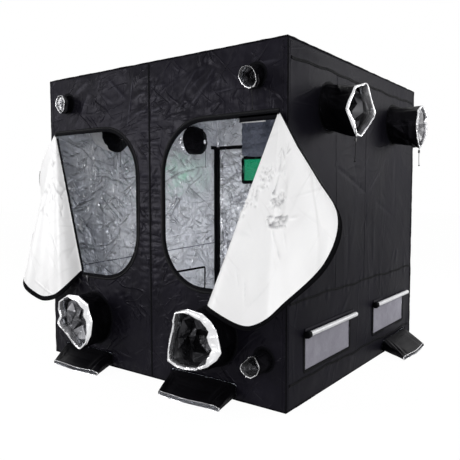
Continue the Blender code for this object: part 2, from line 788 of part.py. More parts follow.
def vent_roll(name, middle):
    """A rolled cover on its web: an outline across the roll, run along the wall"""
    centre = (SEAM_GAP + ROLL_RADIUS, VENT_SILL + VENT_HEIGHT + ROLL_LIFT)
    seam = centre[1] + ROLL_RADIUS + ROLL_WEB
    web_angle = math.degrees(math.acos((CLOTH - ROLL_RADIUS) / ROLL_RADIUS))
    outline = [(SEAM_GAP, seam)]
    outline += arc(centre, ROLL_RADIUS, 180, 360 + web_angle, 16)
    outline += [(SEAM_GAP + CLOTH, seam)]
    along, up, out, face = (Vector(part) for part in WALLS["right"])
    turn = Matrix((out, up, -along)).transposed().to_4x4()
    place = Matrix.Translation(face + along * (middle + ROLL_SHIFT)) @ turn
    roll = plate(name, [outline], VENT_LENGTH + 2 * ROLL_OVERLAP, place, silver_cloth)
    carry(f"{name}_seam", on_wall("right", middle, seam), roll)


def mesh_windows():
    for word, middle in vent_places().items():
        loop = vent_loop(middle, -SEAM_GAP)
        place = frame_of("right", -HALF_CLOTH)
        plate(f"{word}_mesh", [loop], CLOTH, place, grey_mesh)
        vent_roll(f"{word}_vent_roll", middle)


# Skin panels


def skin(sleeves):
    """Six panels; the front and rear run the full width and the sides fit between them"""
    edge = CLOTH + SEAM_GAP
    low, high = edge, TENT_HEIGHT - edge
    full = box_loop(HALF_WIDTH, low, high)
    side = box_loop(HALF_DEPTH - edge, low, high)
    ground = box_loop(HALF_WIDTH, -HALF_DEPTH, HALF_DEPTH)
    ports = {wall: [port(one) for one in sleeves if one.wall == wall] for wall in WALLS}
    vents = [vent_loop(middle) for middle in vent_places().values()]
    rear_hole = rounded_box(*rear_door_box(REAR_DOOR_GAP), REAR_DOOR_CORNER_RADIUS)
    panels = {
        "front_wall": [full, door_loop(1), door_loop(-1), *ports["front"]],
        "rear_wall": [full, rear_hole],
        "right_wall": [side, *vents, *ports["right"]],
        "left_wall": [side, *ports["left"]],
        "roof_panel": [ground],
        "floor_panel": [ground],
    }
    for name, loops in panels.items():
        wall = name.split("_")[0]
        plate(name, loops, CLOTH, frame_of(wall, -HALF_CLOTH), black_cloth)


def box_loop(half, low, high):
    return [(-half, low), (half, low), (half, high), (-half, high)]


# Frame


def corner(name, place, inwards):
    """A corner piece: a block with three collars and a peg beyond each that plugs into a pole"""
    parts = []
    for way in (Vector((inwards[0], 0, 0)), Vector((0, inwards[1], 0)), Vector((0, 0, inwards[2]))):
        peg_radius = POLE_RADIUS - POLE_WALL - PEG_CLEARANCE
        reach = HUB_REACH - SEAM_GAP
        parts.append(rod(place, place + way * reach, POLE_RADIUS, POLE_SIDES))
        parts.append(rod(place, place + way * (reach + PEG_LENGTH), peg_radius, POLE_SIDES))
    hub = block((2 * HUB_HALF,) * 3, Matrix.Translation(place))
    return keep(steel(round_off(boolean(hub, "UNION", parts))), name)


def pole(name, start, end):
    """A pole between two corner pieces"""
    start, end = Vector(start), Vector(end)
    way = (end - start).normalized() * HUB_REACH
    tube(name, start + way, end - way, POLE_RADIUS, POLE_WALL, steel)


def frame_tubes():
    levels = {"bottom": FRAME_LOW, "top": FRAME_HIGH}
    sides = {"left": -FRAME_X, "right": FRAME_X}
    ends = {"front": -FRAME_Y, "rear": FRAME_Y}
    for level, z in levels.items():
        for end, y in ends.items():
            pole(f"{level}_{end}_rail", (-FRAME_X, y, z), (FRAME_X, y, z))
        for side, x in sides.items():
            pole(f"{level}_{side}_rail", (x, -FRAME_Y, z), (x, FRAME_Y, z))
    for end, y in ends.items():
        for side, x in sides.items():
            pole(f"{end}_{side}_post", (x, y, FRAME_LOW), (x, y, FRAME_HIGH))
            for level, z in levels.items():
                inwards = (-math.copysign(1, x), -math.copysign(1, y), 1 if level == "bottom" else -1)
                corner(f"{level}_{end}_{side}_corner", Vector((x, y, z)), inwards)


def front_mid_post():
    """The middle post, coped at both ends to the rails that it stands between"""
    low, high = (0, -FRAME_Y, FRAME_LOW), (0, -FRAME_Y, FRAME_HIGH)
    post = tube("post", low, high, POLE_RADIUS, POLE_WALL, steel)
    radius = POLE_RADIUS + SEAM_GAP
    reach = POLE_RADIUS + CUT_OVERRUN
    rails = []
    for z in (FRAME_LOW, FRAME_HIGH):
        rails.append(rod((-reach, -FRAME_Y, z), (reach, -FRAME_Y, z), radius))
    keep(steel(round_off(boolean(to_mesh(post), "DIFFERENCE", rails))), "front_mid_post")


def bar_hook(side, y):
    """A hook over a side rail, from the rail's top down its inner side to the bar below"""
    inner = POLE_RADIUS + SEAM_GAP
    foot = -POLE_RADIUS - BAR_DROP - BAR_RADIUS
    outline = arc((0.0, 0.0), HOOK_RADIUS, 60, 180, 12) + [(-HOOK_RADIUS, foot), (-inner, foot)]
    outline += arc((0.0, 0.0), inner, 180, 60, 12)
    turn = Matrix(((side, 0, 0), (0, 0, 1), (0, -side, 0))).transposed().to_4x4()
    place = Matrix.Translation((side * FRAME_X, y, FRAME_HIGH))
    return to_mesh(plate("hook", [outline], HOOK_WIDTH, place @ turn, steel))


def hanging_bar(name, y):
    """A bar that hangs by a hook from each side rail and slides along them"""
    z = FRAME_HIGH - POLE_RADIUS - BAR_DROP - BAR_RADIUS
    reach = HALF_WIDTH - CLOTH - BAR_END_CLEARANCE
    bar = to_mesh(tube("bar", (-reach, y, z), (reach, y, z), BAR_RADIUS, POLE_WALL, steel))
    hooks = [bar_hook(1, y), bar_hook(-1, y)]
    made = keep(steel(round_off(boolean(bar, "UNION", hooks))), name)
    carry(f"{name}_track", (0, y, z), made)


# Drawcords


def cord(name, points):
    """A hanging cord through its points"""
    smooth = through(points, 8)
    length = sum((end - start).length for start, end in zip(smooth, smooth[1:]))
    curve = bpy.data.curves.new(name, "CURVE")
    curve.dimensions = "3D"
    curve.bevel_depth = CORD_RADIUS
    curve.bevel_resolution = 2
    curve.use_fill_caps = True
    line = resampled(smooth, round(length / CORD_POINT_SPACING))
    spline = curve.splines.new("POLY")
    spline.points.add(len(line) - 1)
    for point, place in zip(spline.points, line):
        point.co = (*place, 1.0)
    return keep(black_trim(bpy.data.objects.new(name, curve)))


def toggle(name, points):
    """A cord lock: a short barrel with the cord through its bore"""
    place = Vector(points[TOGGLE_POINT])
    half = Vector((0, 0, TOGGLE_LENGTH / 2))
    wall = TOGGLE_RADIUS - CORD_RADIUS - TOGGLE_CLEARANCE
    barrel = tube(name, place - half, place + half, TOGGLE_RADIUS, wall, black_trim)
    carry(f"{name}_track", place, barrel)


def drawcords():
    cord("front_upper_right_cord", UPPER_RIGHT_CORD)
    cord("right_front_cord", RIGHT_FRONT_CORD)
    cord("right_rear_cord", RIGHT_REAR_CORD)
    toggle("right_front_toggle", RIGHT_FRONT_CORD)
    toggle("right_rear_toggle", RIGHT_REAR_CORD)


clear_scene()
PARTS = new_collection("grow_tent")
CUTTERS = new_collection("cutters")
SLEEVES = cable_sleeves() + intake_sleeves() + duct_sleeves() + flat_sleeves()
skin(SLEEVES)
for one_sleeve in SLEEVES:
    make_sleeve(one_sleeve)
front_door(1, "right", Drape(1, RIGHT_FLAP_SHARES, RIGHT_FOLD_SHARES))
front_door(-1, "left", Drape(-1, LEFT_FLAP_SHARES, LEFT_FOLD_SHARES))
rear_door()
mesh_windows()
frame_tubes()
front_mid_post()
hanging_bar("front_hanging_bar", -BAR_INSET)
hanging_bar("rear_hanging_bar", BAR_INSET)
drawcords()
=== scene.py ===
"""Looks of an indoor grow tent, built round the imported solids: creased cloth, foil lining, folded doors,
sleeves with turned cuffs, zips, bindings, rolled covers, mesh windows, hanging cords and the studio."""

import math

import bmesh
import bpy
import numpy as np
from mathutils import Matrix, Vector
from mathutils.bvhtree import BVHTree


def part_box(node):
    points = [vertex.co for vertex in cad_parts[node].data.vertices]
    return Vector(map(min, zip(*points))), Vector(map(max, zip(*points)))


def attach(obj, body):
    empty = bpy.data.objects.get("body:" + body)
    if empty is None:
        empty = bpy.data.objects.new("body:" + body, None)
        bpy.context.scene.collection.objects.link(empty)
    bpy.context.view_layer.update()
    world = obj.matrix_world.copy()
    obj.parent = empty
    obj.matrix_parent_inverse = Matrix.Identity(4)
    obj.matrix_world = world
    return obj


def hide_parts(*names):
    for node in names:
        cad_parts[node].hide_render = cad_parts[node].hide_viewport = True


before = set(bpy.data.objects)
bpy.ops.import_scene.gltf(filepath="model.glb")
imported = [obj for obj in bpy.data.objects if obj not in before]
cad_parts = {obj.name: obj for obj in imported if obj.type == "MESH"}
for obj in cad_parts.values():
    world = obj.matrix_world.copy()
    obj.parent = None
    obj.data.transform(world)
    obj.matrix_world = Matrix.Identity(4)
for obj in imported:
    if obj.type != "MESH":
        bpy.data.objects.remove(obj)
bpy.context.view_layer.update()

# Sizes shared with the solids, in metres
HALF = 1.0
HEIGHT = 2.0
CLOTH = 0.002
DOOR_FREE = 0.11
DOOR_HINGE = 0.95
DOOR_WIDTH = 0.84
DOOR_TOP = 1.62
DOOR_SILL = 0.61
DOOR_HEIGHT = 1.01
DOOR_RADIUS = 0.32
FOLD_FOOT = 0.28
REAR_DOOR = (0.11, 0.12, 0.94, 1.62)
REAR_WINDOW = (0.363, 1.295, 0.683, 1.535)
REAR_DOOR_RADIUS = 0.08
REAR_DOOR_STEP = 0.0143
VENTS = {"right_front": -0.495, "right_rear": 0.515}
VENT_HALF = 0.305
VENT_LOW = 0.18
VENT_HIGH = 0.38
DUCT_RADIUS = 0.137
DUCT_HEIGHT = 1.69
INTAKE_RADIUS = 0.17
CABLE_RADIUS = 0.06
FLAT_HALF = 0.25
FLAT_LOW = 0.012
FLAT_HIGH = 0.096
WALL_END = 0.0023
WINDOW_CORNER = 0.01
INNER_BAND_HEIGHT = 1.645
POST_COVER_RADIUS = 0.0145
ROLL_HALF = 0.335
ROLL_SHIFT = 0.03

# The camera, solved from the tent's corners in the photograph
CAMERA_PLACE = (2.4675, -3.5013, 1.1906)
CAMERA_YAW = 36.347
CAMERA_PITCH = -3.886
CAMERA_ROLL = -0.072
CAMERA_LENS = 42.96
SENSOR = 36.0

# Wall directions: along, up and outwards, with the outer face's middle at the ground
WALLS = {
    "front": ((1, 0, 0), (0, 0, 1), (0, -1, 0), (0, -HALF, 0)),
    "rear": ((-1, 0, 0), (0, 0, 1), (0, 1, 0), (0, HALF, 0)),
    "right": ((0, 1, 0), (0, 0, 1), (1, 0, 0), (HALF, 0, 0)),
    "left": ((0, -1, 0), (0, 0, 1), (-1, 0, 0), (-HALF, 0, 0)),
    "roof": ((1, 0, 0), (0, 1, 0), (0, 0, 1), (0, 0, HEIGHT)),
    "floor": ((1, 0, 0), (0, -1, 0), (0, 0, -1), (0, 0, 0)),
}
# Grid step of each wall's cloth, and how near to a cut a corner is pulled onto it, in steps
SPACING = {"front": 0.0095, "left": 0.0095, "right": 0.0125, "rear": 0.0125, "roof": 0.025, "floor": 0.025}
SNAP_SHARE = 0.51
RELIEF_GRID = 321
RELIEF = {}


def seed_of(name):
    """The seed of a piece's own random draws"""
    return sum(ord(letter) for letter in name)


def full_turn(count):
    """Equal angles round a ring"""
    return np.linspace(0, 2 * math.pi, count, endpoint=False)


def evened(random, count, window, spread=1.0):
    """Random unevenness along a piece, averaged over its neighbours"""
    raw = random.normal(0, spread, count + 9)
    return np.convolve(raw, np.ones(window) / window, "same")[4:-4][: count + 1]


# Camera and hanging cords


def add_camera():
    data = bpy.data.cameras.new("camera")
    data.lens = CAMERA_LENS
    data.sensor_width = SENSOR
    data.clip_end = 60
    camera = bpy.data.objects.new("camera", data)
    bpy.context.scene.collection.objects.link(camera)
    yaw = Matrix.Rotation(math.radians(CAMERA_YAW), 4, "Z")
    pitch = Matrix.Rotation(math.radians(90 + CAMERA_PITCH), 4, "X")
    roll = Matrix.Rotation(math.radians(CAMERA_ROLL), 4, "Z")
    camera.matrix_world = Matrix.Translation(CAMERA_PLACE) @ yaw @ pitch @ roll
    bpy.context.scene.camera = camera


CORDS = {
    "front_upper_right_cord": (
        (0.838, -1.1007, 1.748),
        (0.842, -1.1012, 1.715),
        (0.847, -1.1, 1.675),
        (0.846, -1.1, 1.626),
    ),
    "right_front_cord": (
        (1.2205, -0.639, 1.577),
        (1.2215, -0.643, 1.545),
        (1.222, -0.646, 1.515),
        (1.222, -0.646, 1.48),
        (1.222, -0.646, 1.4),
        (1.22, -0.648, 1.363),
    ),
    "right_rear_cord": (
        (1.2205, 0.459, 1.572),
        (1.2215, 0.458, 1.54),
        (1.222, 0.457, 1.51),
        (1.222, 0.457, 1.48),
        (1.222, 0.457, 1.42),
        (1.223, 0.459, 1.384),
    ),
    "left_front_inner_cord": (
        (-0.816, -0.488, 1.612),
        (-0.81, -0.496, 1.56),
        (-0.811, -0.5, 1.47),
        (-0.812, -0.505, 1.4),
    ),
    "left_rear_inner_cord": (
        (-0.829, 0.57, 1.655),
        (-0.82, 0.576, 1.6),
        (-0.821, 0.578, 1.5),
        (-0.822, 0.577, 1.43),
    ),
}
CORD_RADIUS = 0.002


def through(points, steps):
    """Catmull-Rom curve through the given points"""
    points = [Vector(point) for point in points]
    ends = [2 * points[0] - points[1], *points, 2 * points[-1] - points[-2]]
    curve = []
    for before, start, end, after in zip(ends, ends[1:], ends[2:], ends[3:]):
        for step in range(steps):
            t = step / steps
            slope = (end - before) * t
            bend = (2 * before - 5 * start + 4 * end - after) * t**2
            turn = (3 * start - before - 3 * end + after) * t**3
            curve.append(start + (slope + bend + turn) / 2)
    curve.append(points[-1])
    return curve


def length_of(line):
    return sum((end - start).length for start, end in zip(line, line[1:]))


def distances(points):
    """How far along a line each of its points is"""
    steps = np.linalg.norm(np.diff(points, axis=0), axis=1)
    return np.concatenate([[0.0], np.cumsum(steps)])


def square_to(way, hint):
    """Two unit directions square to a line's"""
    first = np.cross(way, hint)
    first /= np.linalg.norm(first)
    return first, np.cross(way, first)


def resampled(line, count):
    """The same line at an equal spacing"""
    marks = np.cumsum([0.0] + [(end - start).length for start, end in zip(line, line[1:])])
    wanted = np.linspace(0.0, marks[-1], count + 1)
    columns = np.array([tuple(point) for point in line])
    return np.stack([np.interp(wanted, marks, columns[:, axis]) for axis in range(3)], axis=1)


# Node building


def node(tree, kind, inputs=(), **settings):
    """A shader node; an input is a plain value or another node's output"""
    made = tree.nodes.new("ShaderNode" + kind)
    for name, value in settings.items():
        setattr(made, name, value)
    for key, value in dict(inputs).items():
        if isinstance(value, bpy.types.NodeSocket):
            tree.links.new(value, made.inputs[key])
        else:
            made.inputs[key].default_value = value
    return made


def maths(tree, operation, first, second=0.0):
    return node(tree, "Math", {0: first, 1: second}, operation=operation).outputs[0]


def spread_to(tree, value, low, high, new_low, new_high):
    """A value moved from one range to another, and held there"""
    given = {"Value": value, "From Min": low, "From Max": high, "To Min": new_low, "To Max": new_high}
    return node(tree, "MapRange", given).outputs[0]


def mixed(tree, factor, first, second):
    given = {0: factor, 6: first, 7: second}
    return node(tree, "Mix", given, data_type="RGBA").outputs[2]


def noise(tree, place, scale, detail):
    return node(tree, "TexNoise", {"Vector": place, "Scale": scale, "Detail": detail}).outputs[0]


def new_group(name, inputs, outputs):
    tree = bpy.data.node_groups.new(name, "ShaderNodeTree")
    for label, kind, value in inputs:
        socket = tree.interface.new_socket(label, in_out="INPUT", socket_type="NodeSocket" + kind)
        socket.default_value = value
    for label in outputs:
        tree.interface.new_socket(label, in_out="OUTPUT", socket_type="NodeSocketFloat")
    return tree, tree.nodes.new("NodeGroupInput").outputs, tree.nodes.new("NodeGroupOutput").inputs


def cloth_creases():
    """Long creases in three directions over a cloth's map, soft folds with thin sharp lines that come and go"""
    tree, given, result = new_group(
        "cloth creases",
        [
            ("Map", "Vector", (0, 0, 0)),
            ("Scale", "Float", 4.0),
            ("Turn", "Float", 0.0),
            ("Sharp", "Float", 1.0),
        ],
        ["Height", "Shade", "Lines"],
    )
    wander = node(tree, "TexNoise", {"Vector": given["Map"], "Scale": 1.7, "Detail": 1.0}).outputs["Color"]
    drifted = node(tree, "VectorMath", {0: wander, "Scale": 0.16}, operation="SCALE").outputs[0]
    moved = node(tree, "VectorMath", {0: given["Map"], 1: drifted}, operation="ADD").outputs[0]
    folds = 0.0
    lines = 0.0
    for degrees, fineness, part in ((38, 1.0, 1.0), (-41, 1.15, 0.9), (6, 1.6, 0.6), (82, 2.1, 0.5)):
        turn = maths(tree, "ADD", given["Turn"], math.radians(degrees))
        spin = node(tree, "CombineXYZ", {2: turn}).outputs[0]
        scale = maths(tree, "MULTIPLY", given["Scale"], fineness)
        laid = node(tree, "Mapping", {0: moved, 2: spin, 3: (5.0, 1.0, 1.0)}, vector_type="TEXTURE").outputs[0]
        shifted = node(tree, "VectorMath", {0: laid, 1: (degrees, fineness, 0)}, operation="ADD").outputs[0]
        slack = noise(tree, shifted, scale, 2.0)
        off_crest = maths(tree, "ABSOLUTE", maths(tree, "SUBTRACT", slack, 0.5))
        crest = spread_to(tree, off_crest, 0.0, 0.022, 1.0, 0.0)
        patch_place = node(tree, "VectorMath", {0: moved, 1: (degrees, 0, 3)}, operation="ADD").outputs[0]
        patch = noise(tree, patch_place, maths(tree, "MULTIPLY", scale, 0.8), 1.0)
        kept = maths(tree, "MULTIPLY", crest, spread_to(tree, patch, 0.48, 0.64, 0.0, part))
        lines = maths(tree, "ADD", lines, kept)
        folds = maths(tree, "ADD", folds, maths(tree, "MULTIPLY", slack, part))
    sharp = maths(tree, "MULTIPLY", maths(tree, "MULTIPLY", lines, 0.16), given["Sharp"])
    tree.links.new(maths(tree, "ADD", folds, sharp), result["Height"])
    tree.links.new(lines, result["Lines"])
    shade = noise(tree, moved, maths(tree, "MULTIPLY", given["Scale"], 0.6), 3.0)
    tree.links.new(spread_to(tree, shade, 0.3, 0.7, 0.0, 1.0), result["Shade"])
    return tree


def oxford_weave():
    """Plain weave of coated cloth"""
    tree, given, result = new_group(
        "oxford weave", [("Place", "Vector", (0, 0, 0)), ("Threads", "Float", 900.0)], ["Height"]
    )
    across = node(tree, "TexWave", {"Vector": given["Place"], "Scale": given["Threads"]})
    across.bands_direction = "DIAGONAL"
    along = node(tree, "TexWave", {"Vector": given["Place"], "Scale": given["Threads"]})
    along.bands_direction = "Z"
    height = maths(tree, "MULTIPLY", across.outputs[1], along.outputs[1])
    tree.links.new(height, result["Height"])
    return tree


def dust_and_wear():
    """Pale dust and rubbed patches"""
    tree, given, result = new_group(
        "dust and wear", [("Place", "Vector", (0, 0, 0)), ("Scale", "Float", 5.0)], ["Mask"]
    )
    broad = noise(tree, given["Place"], given["Scale"], 6.0)
    fine = noise(tree, given["Place"], maths(tree, "MULTIPLY", given["Scale"], 24.0), 3.0)
    both = maths(tree, "MULTIPLY", spread_to(tree, broad, 0.45, 0.75, 0.0, 1.0), fine)
    tree.links.new(both, result["Mask"])
    return tree


GROUPS = {}


def grouped(tree, name, inputs):
    made = tree.nodes.new("ShaderNodeGroup")
    made.node_tree = GROUPS[name]
    for key, value in inputs.items():
        if isinstance(value, bpy.types.NodeSocket):
            tree.links.new(value, made.inputs[key])
        else:
            made.inputs[key].default_value = value
    return made.outputs


def new_material(name, **values):
    """A material and its shader, with the uniform values set on the shader's own sockets"""
    material = bpy.data.materials.new(name)
    material.use_nodes = True
    tree = material.node_tree
    shader = tree.nodes["Principled BSDF"]
    for label, value in values.items():
        shader.inputs[label.replace("_", " ")].default_value = value
    place = node(tree, "TexCoord").outputs["Object"]
    return material, tree, shader, place


def connect(tree, shader, **links):
    for label, socket in links.items():
        tree.links.new(socket, shader.inputs[label.replace("_", " ")])


def metre_map(tree):
    return node(tree, "UVMap", uv_map="metres").outputs[0]


def dusty(tree, place, scale):
    return grouped(tree, "dust and wear", {"Place": place, "Scale": scale})["Mask"]


def creased(tree, dark, pale, scale, turn, sharp):
    """The creases of a cloth and its colour between them"""
    given = {"Map": metre_map(tree), "Scale": scale, "Turn": math.radians(turn), "Sharp": sharp}
    folds = grouped(tree, "cloth creases", given)
    return folds, mixed(tree, folds["Shade"], (*dark, 1), (*pale, 1))


def painted_fold_light(tree, strength):
    """How sharply the mesh itself is folded, times a strength: the mask along which shade and highlight are
    painted
    """
    fold = node(tree, "Attribute", attribute_name="fold").outputs["Fac"]
    return maths(tree, "MULTIPLY", fold, strength)


def blend_over(tree, shader, share, other):
    """Mix another shader's output into a material's surface"""
    both = node(tree, "MixShader", {0: share, 1: shader.outputs[0], 2: other.outputs[0]})
    tree.links.new(both.outputs[0], tree.nodes["Material Output"].inputs["Surface"])


def bumped(tree, height, strength, distance, after=None):
    given = {"Strength": strength, "Distance": distance, "Height": height}
    if after is not None:
        given["Normal"] = after
    return node(tree, "Bump", given).outputs[0]


def oxford(name, dark, pale, rough, crease, scale=5.0, specular=0.1, turn=0.0, sharp=1.0, ridge_highlight=0.5):
    """Black coated cloth between two colours; crease is its fold depth, and the last value sets how pale its
    fold ridges are painted: a painted highlight along the ridges
    """
    glint = {"Specular_IOR_Level": specular, "Specular_Tint": (0.86, 0.82, 1.0, 1)}
    material, tree, shader, place = new_material(name, **glint)
    folds, cloth_colour = creased(tree, dark, pale, scale, turn, sharp)
    weave = grouped(tree, "oxford weave", {"Place": place})["Height"]
    dust = dusty(tree, place, 4.0)
    # Pale dust, and a painted highlight along the cloth's fold ridges
    dust_and_ridge_highlight = maths(tree, "ADD", maths(tree, "MULTIPLY", dust, 0.05), painted_fold_light(tree, ridge_highlight))
    colour = mixed(tree, dust_and_ridge_highlight, cloth_colour, (0.08, 0.078, 0.1, 1))
    roughness = spread_to(tree, folds["Shade"], 0.0, 1.0, rough - 0.06, rough + 0.08)
    folded = bumped(tree, folds["Height"], 1.0, crease)
    normal = bumped(tree, weave, 0.12, 0.0003, folded)
    connect(tree, shader, Base_Color=colour, Roughness=roughness, Normal=normal)
    return material


def foil(name, dark, pale, crease, rough=0.4, metallic=0.35, scale=7.0, turn=0.0, sharp=1.0):
    """Silver film lining: bright, crumpled, with its backing's weave showing through, and painted shade along
    its crease lines and sharp folds
    """
    material, tree, shader, place = new_material(name, Metallic=metallic, Specular_IOR_Level=0.4)
    folds, cloth_colour = creased(tree, dark, pale, scale, turn, sharp)
    weave = grouped(tree, "oxford weave", {"Place": place, "Threads": 500.0})["Height"]
    # Random darker patches, plus painted shade along the thin crease lines
    lined = maths(tree, "MULTIPLY", folds["Lines"], 0.25)
    worn = maths(tree, "ADD", maths(tree, "MULTIPLY", dusty(tree, place, 3.0), 0.15), lined)
    crumpled = mixed(tree, worn, cloth_colour, (dark[0] * 0.7, dark[1] * 0.7, dark[2] * 0.7, 1))
    # The colour of the painted shade in the lining's sharp folds
    hollow = (dark[0] * 0.3, dark[1] * 0.3, dark[2] * 0.32, 1)
    colour = mixed(tree, painted_fold_light(tree, 0.8), crumpled, hollow)
    roughness = spread_to(tree, folds["Shade"], 0.0, 1.0, rough - 0.06, rough + 0.1)
    folded = bumped(tree, folds["Height"], 1.0, crease)
    normal = bumped(tree, weave, 0.1, 0.0002, folded)
    connect(tree, shader, Base_Color=colour, Roughness=roughness, Normal=normal)
    return material


def tape(name, colour, edge, stitch=0.006, width=0.02, rough=0.6):
    """Woven binding: ribs across it and a row of stitches along each side, laid out on its map in metres"""
    material, tree, shader, place = new_material(name, Specular_IOR_Level=0.03)
    chart = metre_map(tree)
    parts = node(tree, "SeparateXYZ", {0: chart}).outputs
    ribs = node(tree, "TexWave", {"Vector": chart, "Scale": 260.0}, bands_direction="X").outputs[1]
    dash = maths(tree, "PINGPONG", parts[0], stitch)
    in_dash = maths(tree, "GREATER_THAN", dash, stitch * 0.3)
    side = maths(tree, "ABSOLUTE", parts[1])
    off_row = maths(tree, "ABSOLUTE", maths(tree, "SUBTRACT", side, width * 0.36))
    in_row = maths(tree, "LESS_THAN", off_row, 0.0008)
    thread = maths(tree, "MULTIPLY", in_dash, in_row)
    dust = dusty(tree, place, 8.0)
    worn = mixed(tree, maths(tree, "MULTIPLY", dust, 0.4), (*colour, 1), (*edge, 1))
    tinted = mixed(tree, maths(tree, "MULTIPLY", thread, 0.6), worn, (*edge, 1))
    height = maths(tree, "ADD", maths(tree, "MULTIPLY", ribs, 0.4), thread)
    roughness = spread_to(tree, dust, 0.0, 1.0, rough, rough + 0.2)
    normal = bumped(tree, height, 0.5, 0.0006)
    connect(tree, shader, Base_Color=tinted, Roughness=roughness, Normal=normal)
    return material


def zip_teeth(name):
    """Zip tape with a row of moulded teeth along its middle"""
    material, tree, shader, place = new_material(name, Specular_IOR_Level=0.1)
    chart = metre_map(tree)
    parts = node(tree, "SeparateXYZ", {0: chart}).outputs
    tooth = maths(tree, "PINGPONG", parts[0], 0.0015)
    near_row = maths(tree, "LESS_THAN", maths(tree, "ABSOLUTE", parts[1]), 0.0028)
    raised = maths(tree, "MULTIPLY", maths(tree, "GREATER_THAN", tooth, 0.0006), near_row)
    ribs = node(tree, "TexWave", {"Vector": chart, "Scale": 300.0}, bands_direction="X").outputs[1]
    dust = dusty(tree, place, 9.0)
    base = mixed(tree, maths(tree, "MULTIPLY", dust, 0.3), (0.004, 0.004, 0.005, 1), (0.02, 0.02, 0.024, 1))
    colour = mixed(tree, maths(tree, "MULTIPLY", raised, 0.5), base, (0.012, 0.012, 0.014, 1))
    height = maths(tree, "ADD", maths(tree, "MULTIPLY", ribs, 0.25), raised)
    roughness = spread_to(tree, raised, 0.0, 1.0, 0.6, 0.3)
    normal = bumped(tree, height, 0.6, 0.001)
    connect(tree, shader, Base_Color=colour, Roughness=roughness, Normal=normal)
    return material


def cell_edges(tree, place, scale):
    given = {"Vector": place, "Scale": scale}
    return node(tree, "TexVoronoi", given, feature="DISTANCE_TO_EDGE").outputs[0]


def vent_net():
    """Fine lavender grey netting"""
    material, tree, shader, place = new_material("fine vent net", Specular_IOR_Level=0.2)
    chart = metre_map(tree)
    net = cell_edges(tree, place, 380.0)
    folds = grouped(tree, "cloth creases", {"Map": chart, "Scale": 16.0, "Sharp": 0.4})
    threads = spread_to(tree, net, 0.0, 0.3, 1.0, 0.0)
    pale = mixed(tree, folds["Shade"], (0.25, 0.24, 0.29, 1), (0.34, 0.33, 0.385, 1))
    colour = mixed(tree, maths(tree, "MULTIPLY", threads, 0.3), pale, (0.45, 0.44, 0.5, 1))
    folded = bumped(tree, folds["Height"], 1.0, 0.003)
    normal = bumped(tree, threads, 0.4, 0.0005, folded)
    roughness = spread_to(tree, threads, 0.0, 1.0, 0.75, 0.5)
    connect(tree, shader, Base_Color=colour, Roughness=roughness, Normal=normal)
    return material


def green_film():
    """Wrinkled green window film that lets tinted light through"""
    material, tree, shader, place = new_material("green window film", Roughness=0.15, Specular_IOR_Level=0.6)
    folds = grouped(tree, "cloth creases", {"Map": place, "Scale": 16.0})
    colour = mixed(tree, folds["Shade"], (0.005, 0.09, 0.06, 1), (0.02, 0.22, 0.15, 1))
    normal = bumped(tree, folds["Height"], 1.0, 0.006)
    connect(tree, shader, Base_Color=colour, Normal=normal)
    clear = node(tree, "BsdfTransparent", {"Color": (0.1, 0.85, 0.55, 1)})
    blend_over(tree, shader, 0.45, clear)
    return material


def worn_finish(name, specular, metallic, wear_scale, wear, dark, pale, rough, grain_scale, grain_bump):
    """Black coat, metal or plastic with rubbed patches; grain_scale 0 takes its grain from the wear"""
    material, tree, shader, place = new_material(name, Metallic=metallic, Specular_IOR_Level=specular)
    worn = dusty(tree, place, wear_scale)
    grain = noise(tree, place, grain_scale, 2.0) if grain_scale else worn
    colour = mixed(tree, maths(tree, "MULTIPLY", worn, wear), (*dark, 1), (*pale, 1))
    roughness = spread_to(tree, worn, 0.0, 1.0, *rough)
    connect(tree, shader, Base_Color=colour, Roughness=roughness, Normal=bumped(tree, grain, *grain_bump))
    return material


def braided_cord():
    material, tree, shader, place = new_material("black braided cord", Specular_IOR_Level=0.25)
    braid = cell_edges(tree, place, 700.0)
    strands = spread_to(tree, braid, 0.0, 0.4, 0.0, 1.0)
    colour = mixed(tree, strands, (0.004, 0.004, 0.005, 1), (0.02, 0.02, 0.022, 1))
    roughness = spread_to(tree, strands, 0.0, 1.0, 0.8, 0.55)
    connect(tree, shader, Base_Color=colour, Roughness=roughness, Normal=bumped(tree, strands, 0.7, 0.0008))
    return material


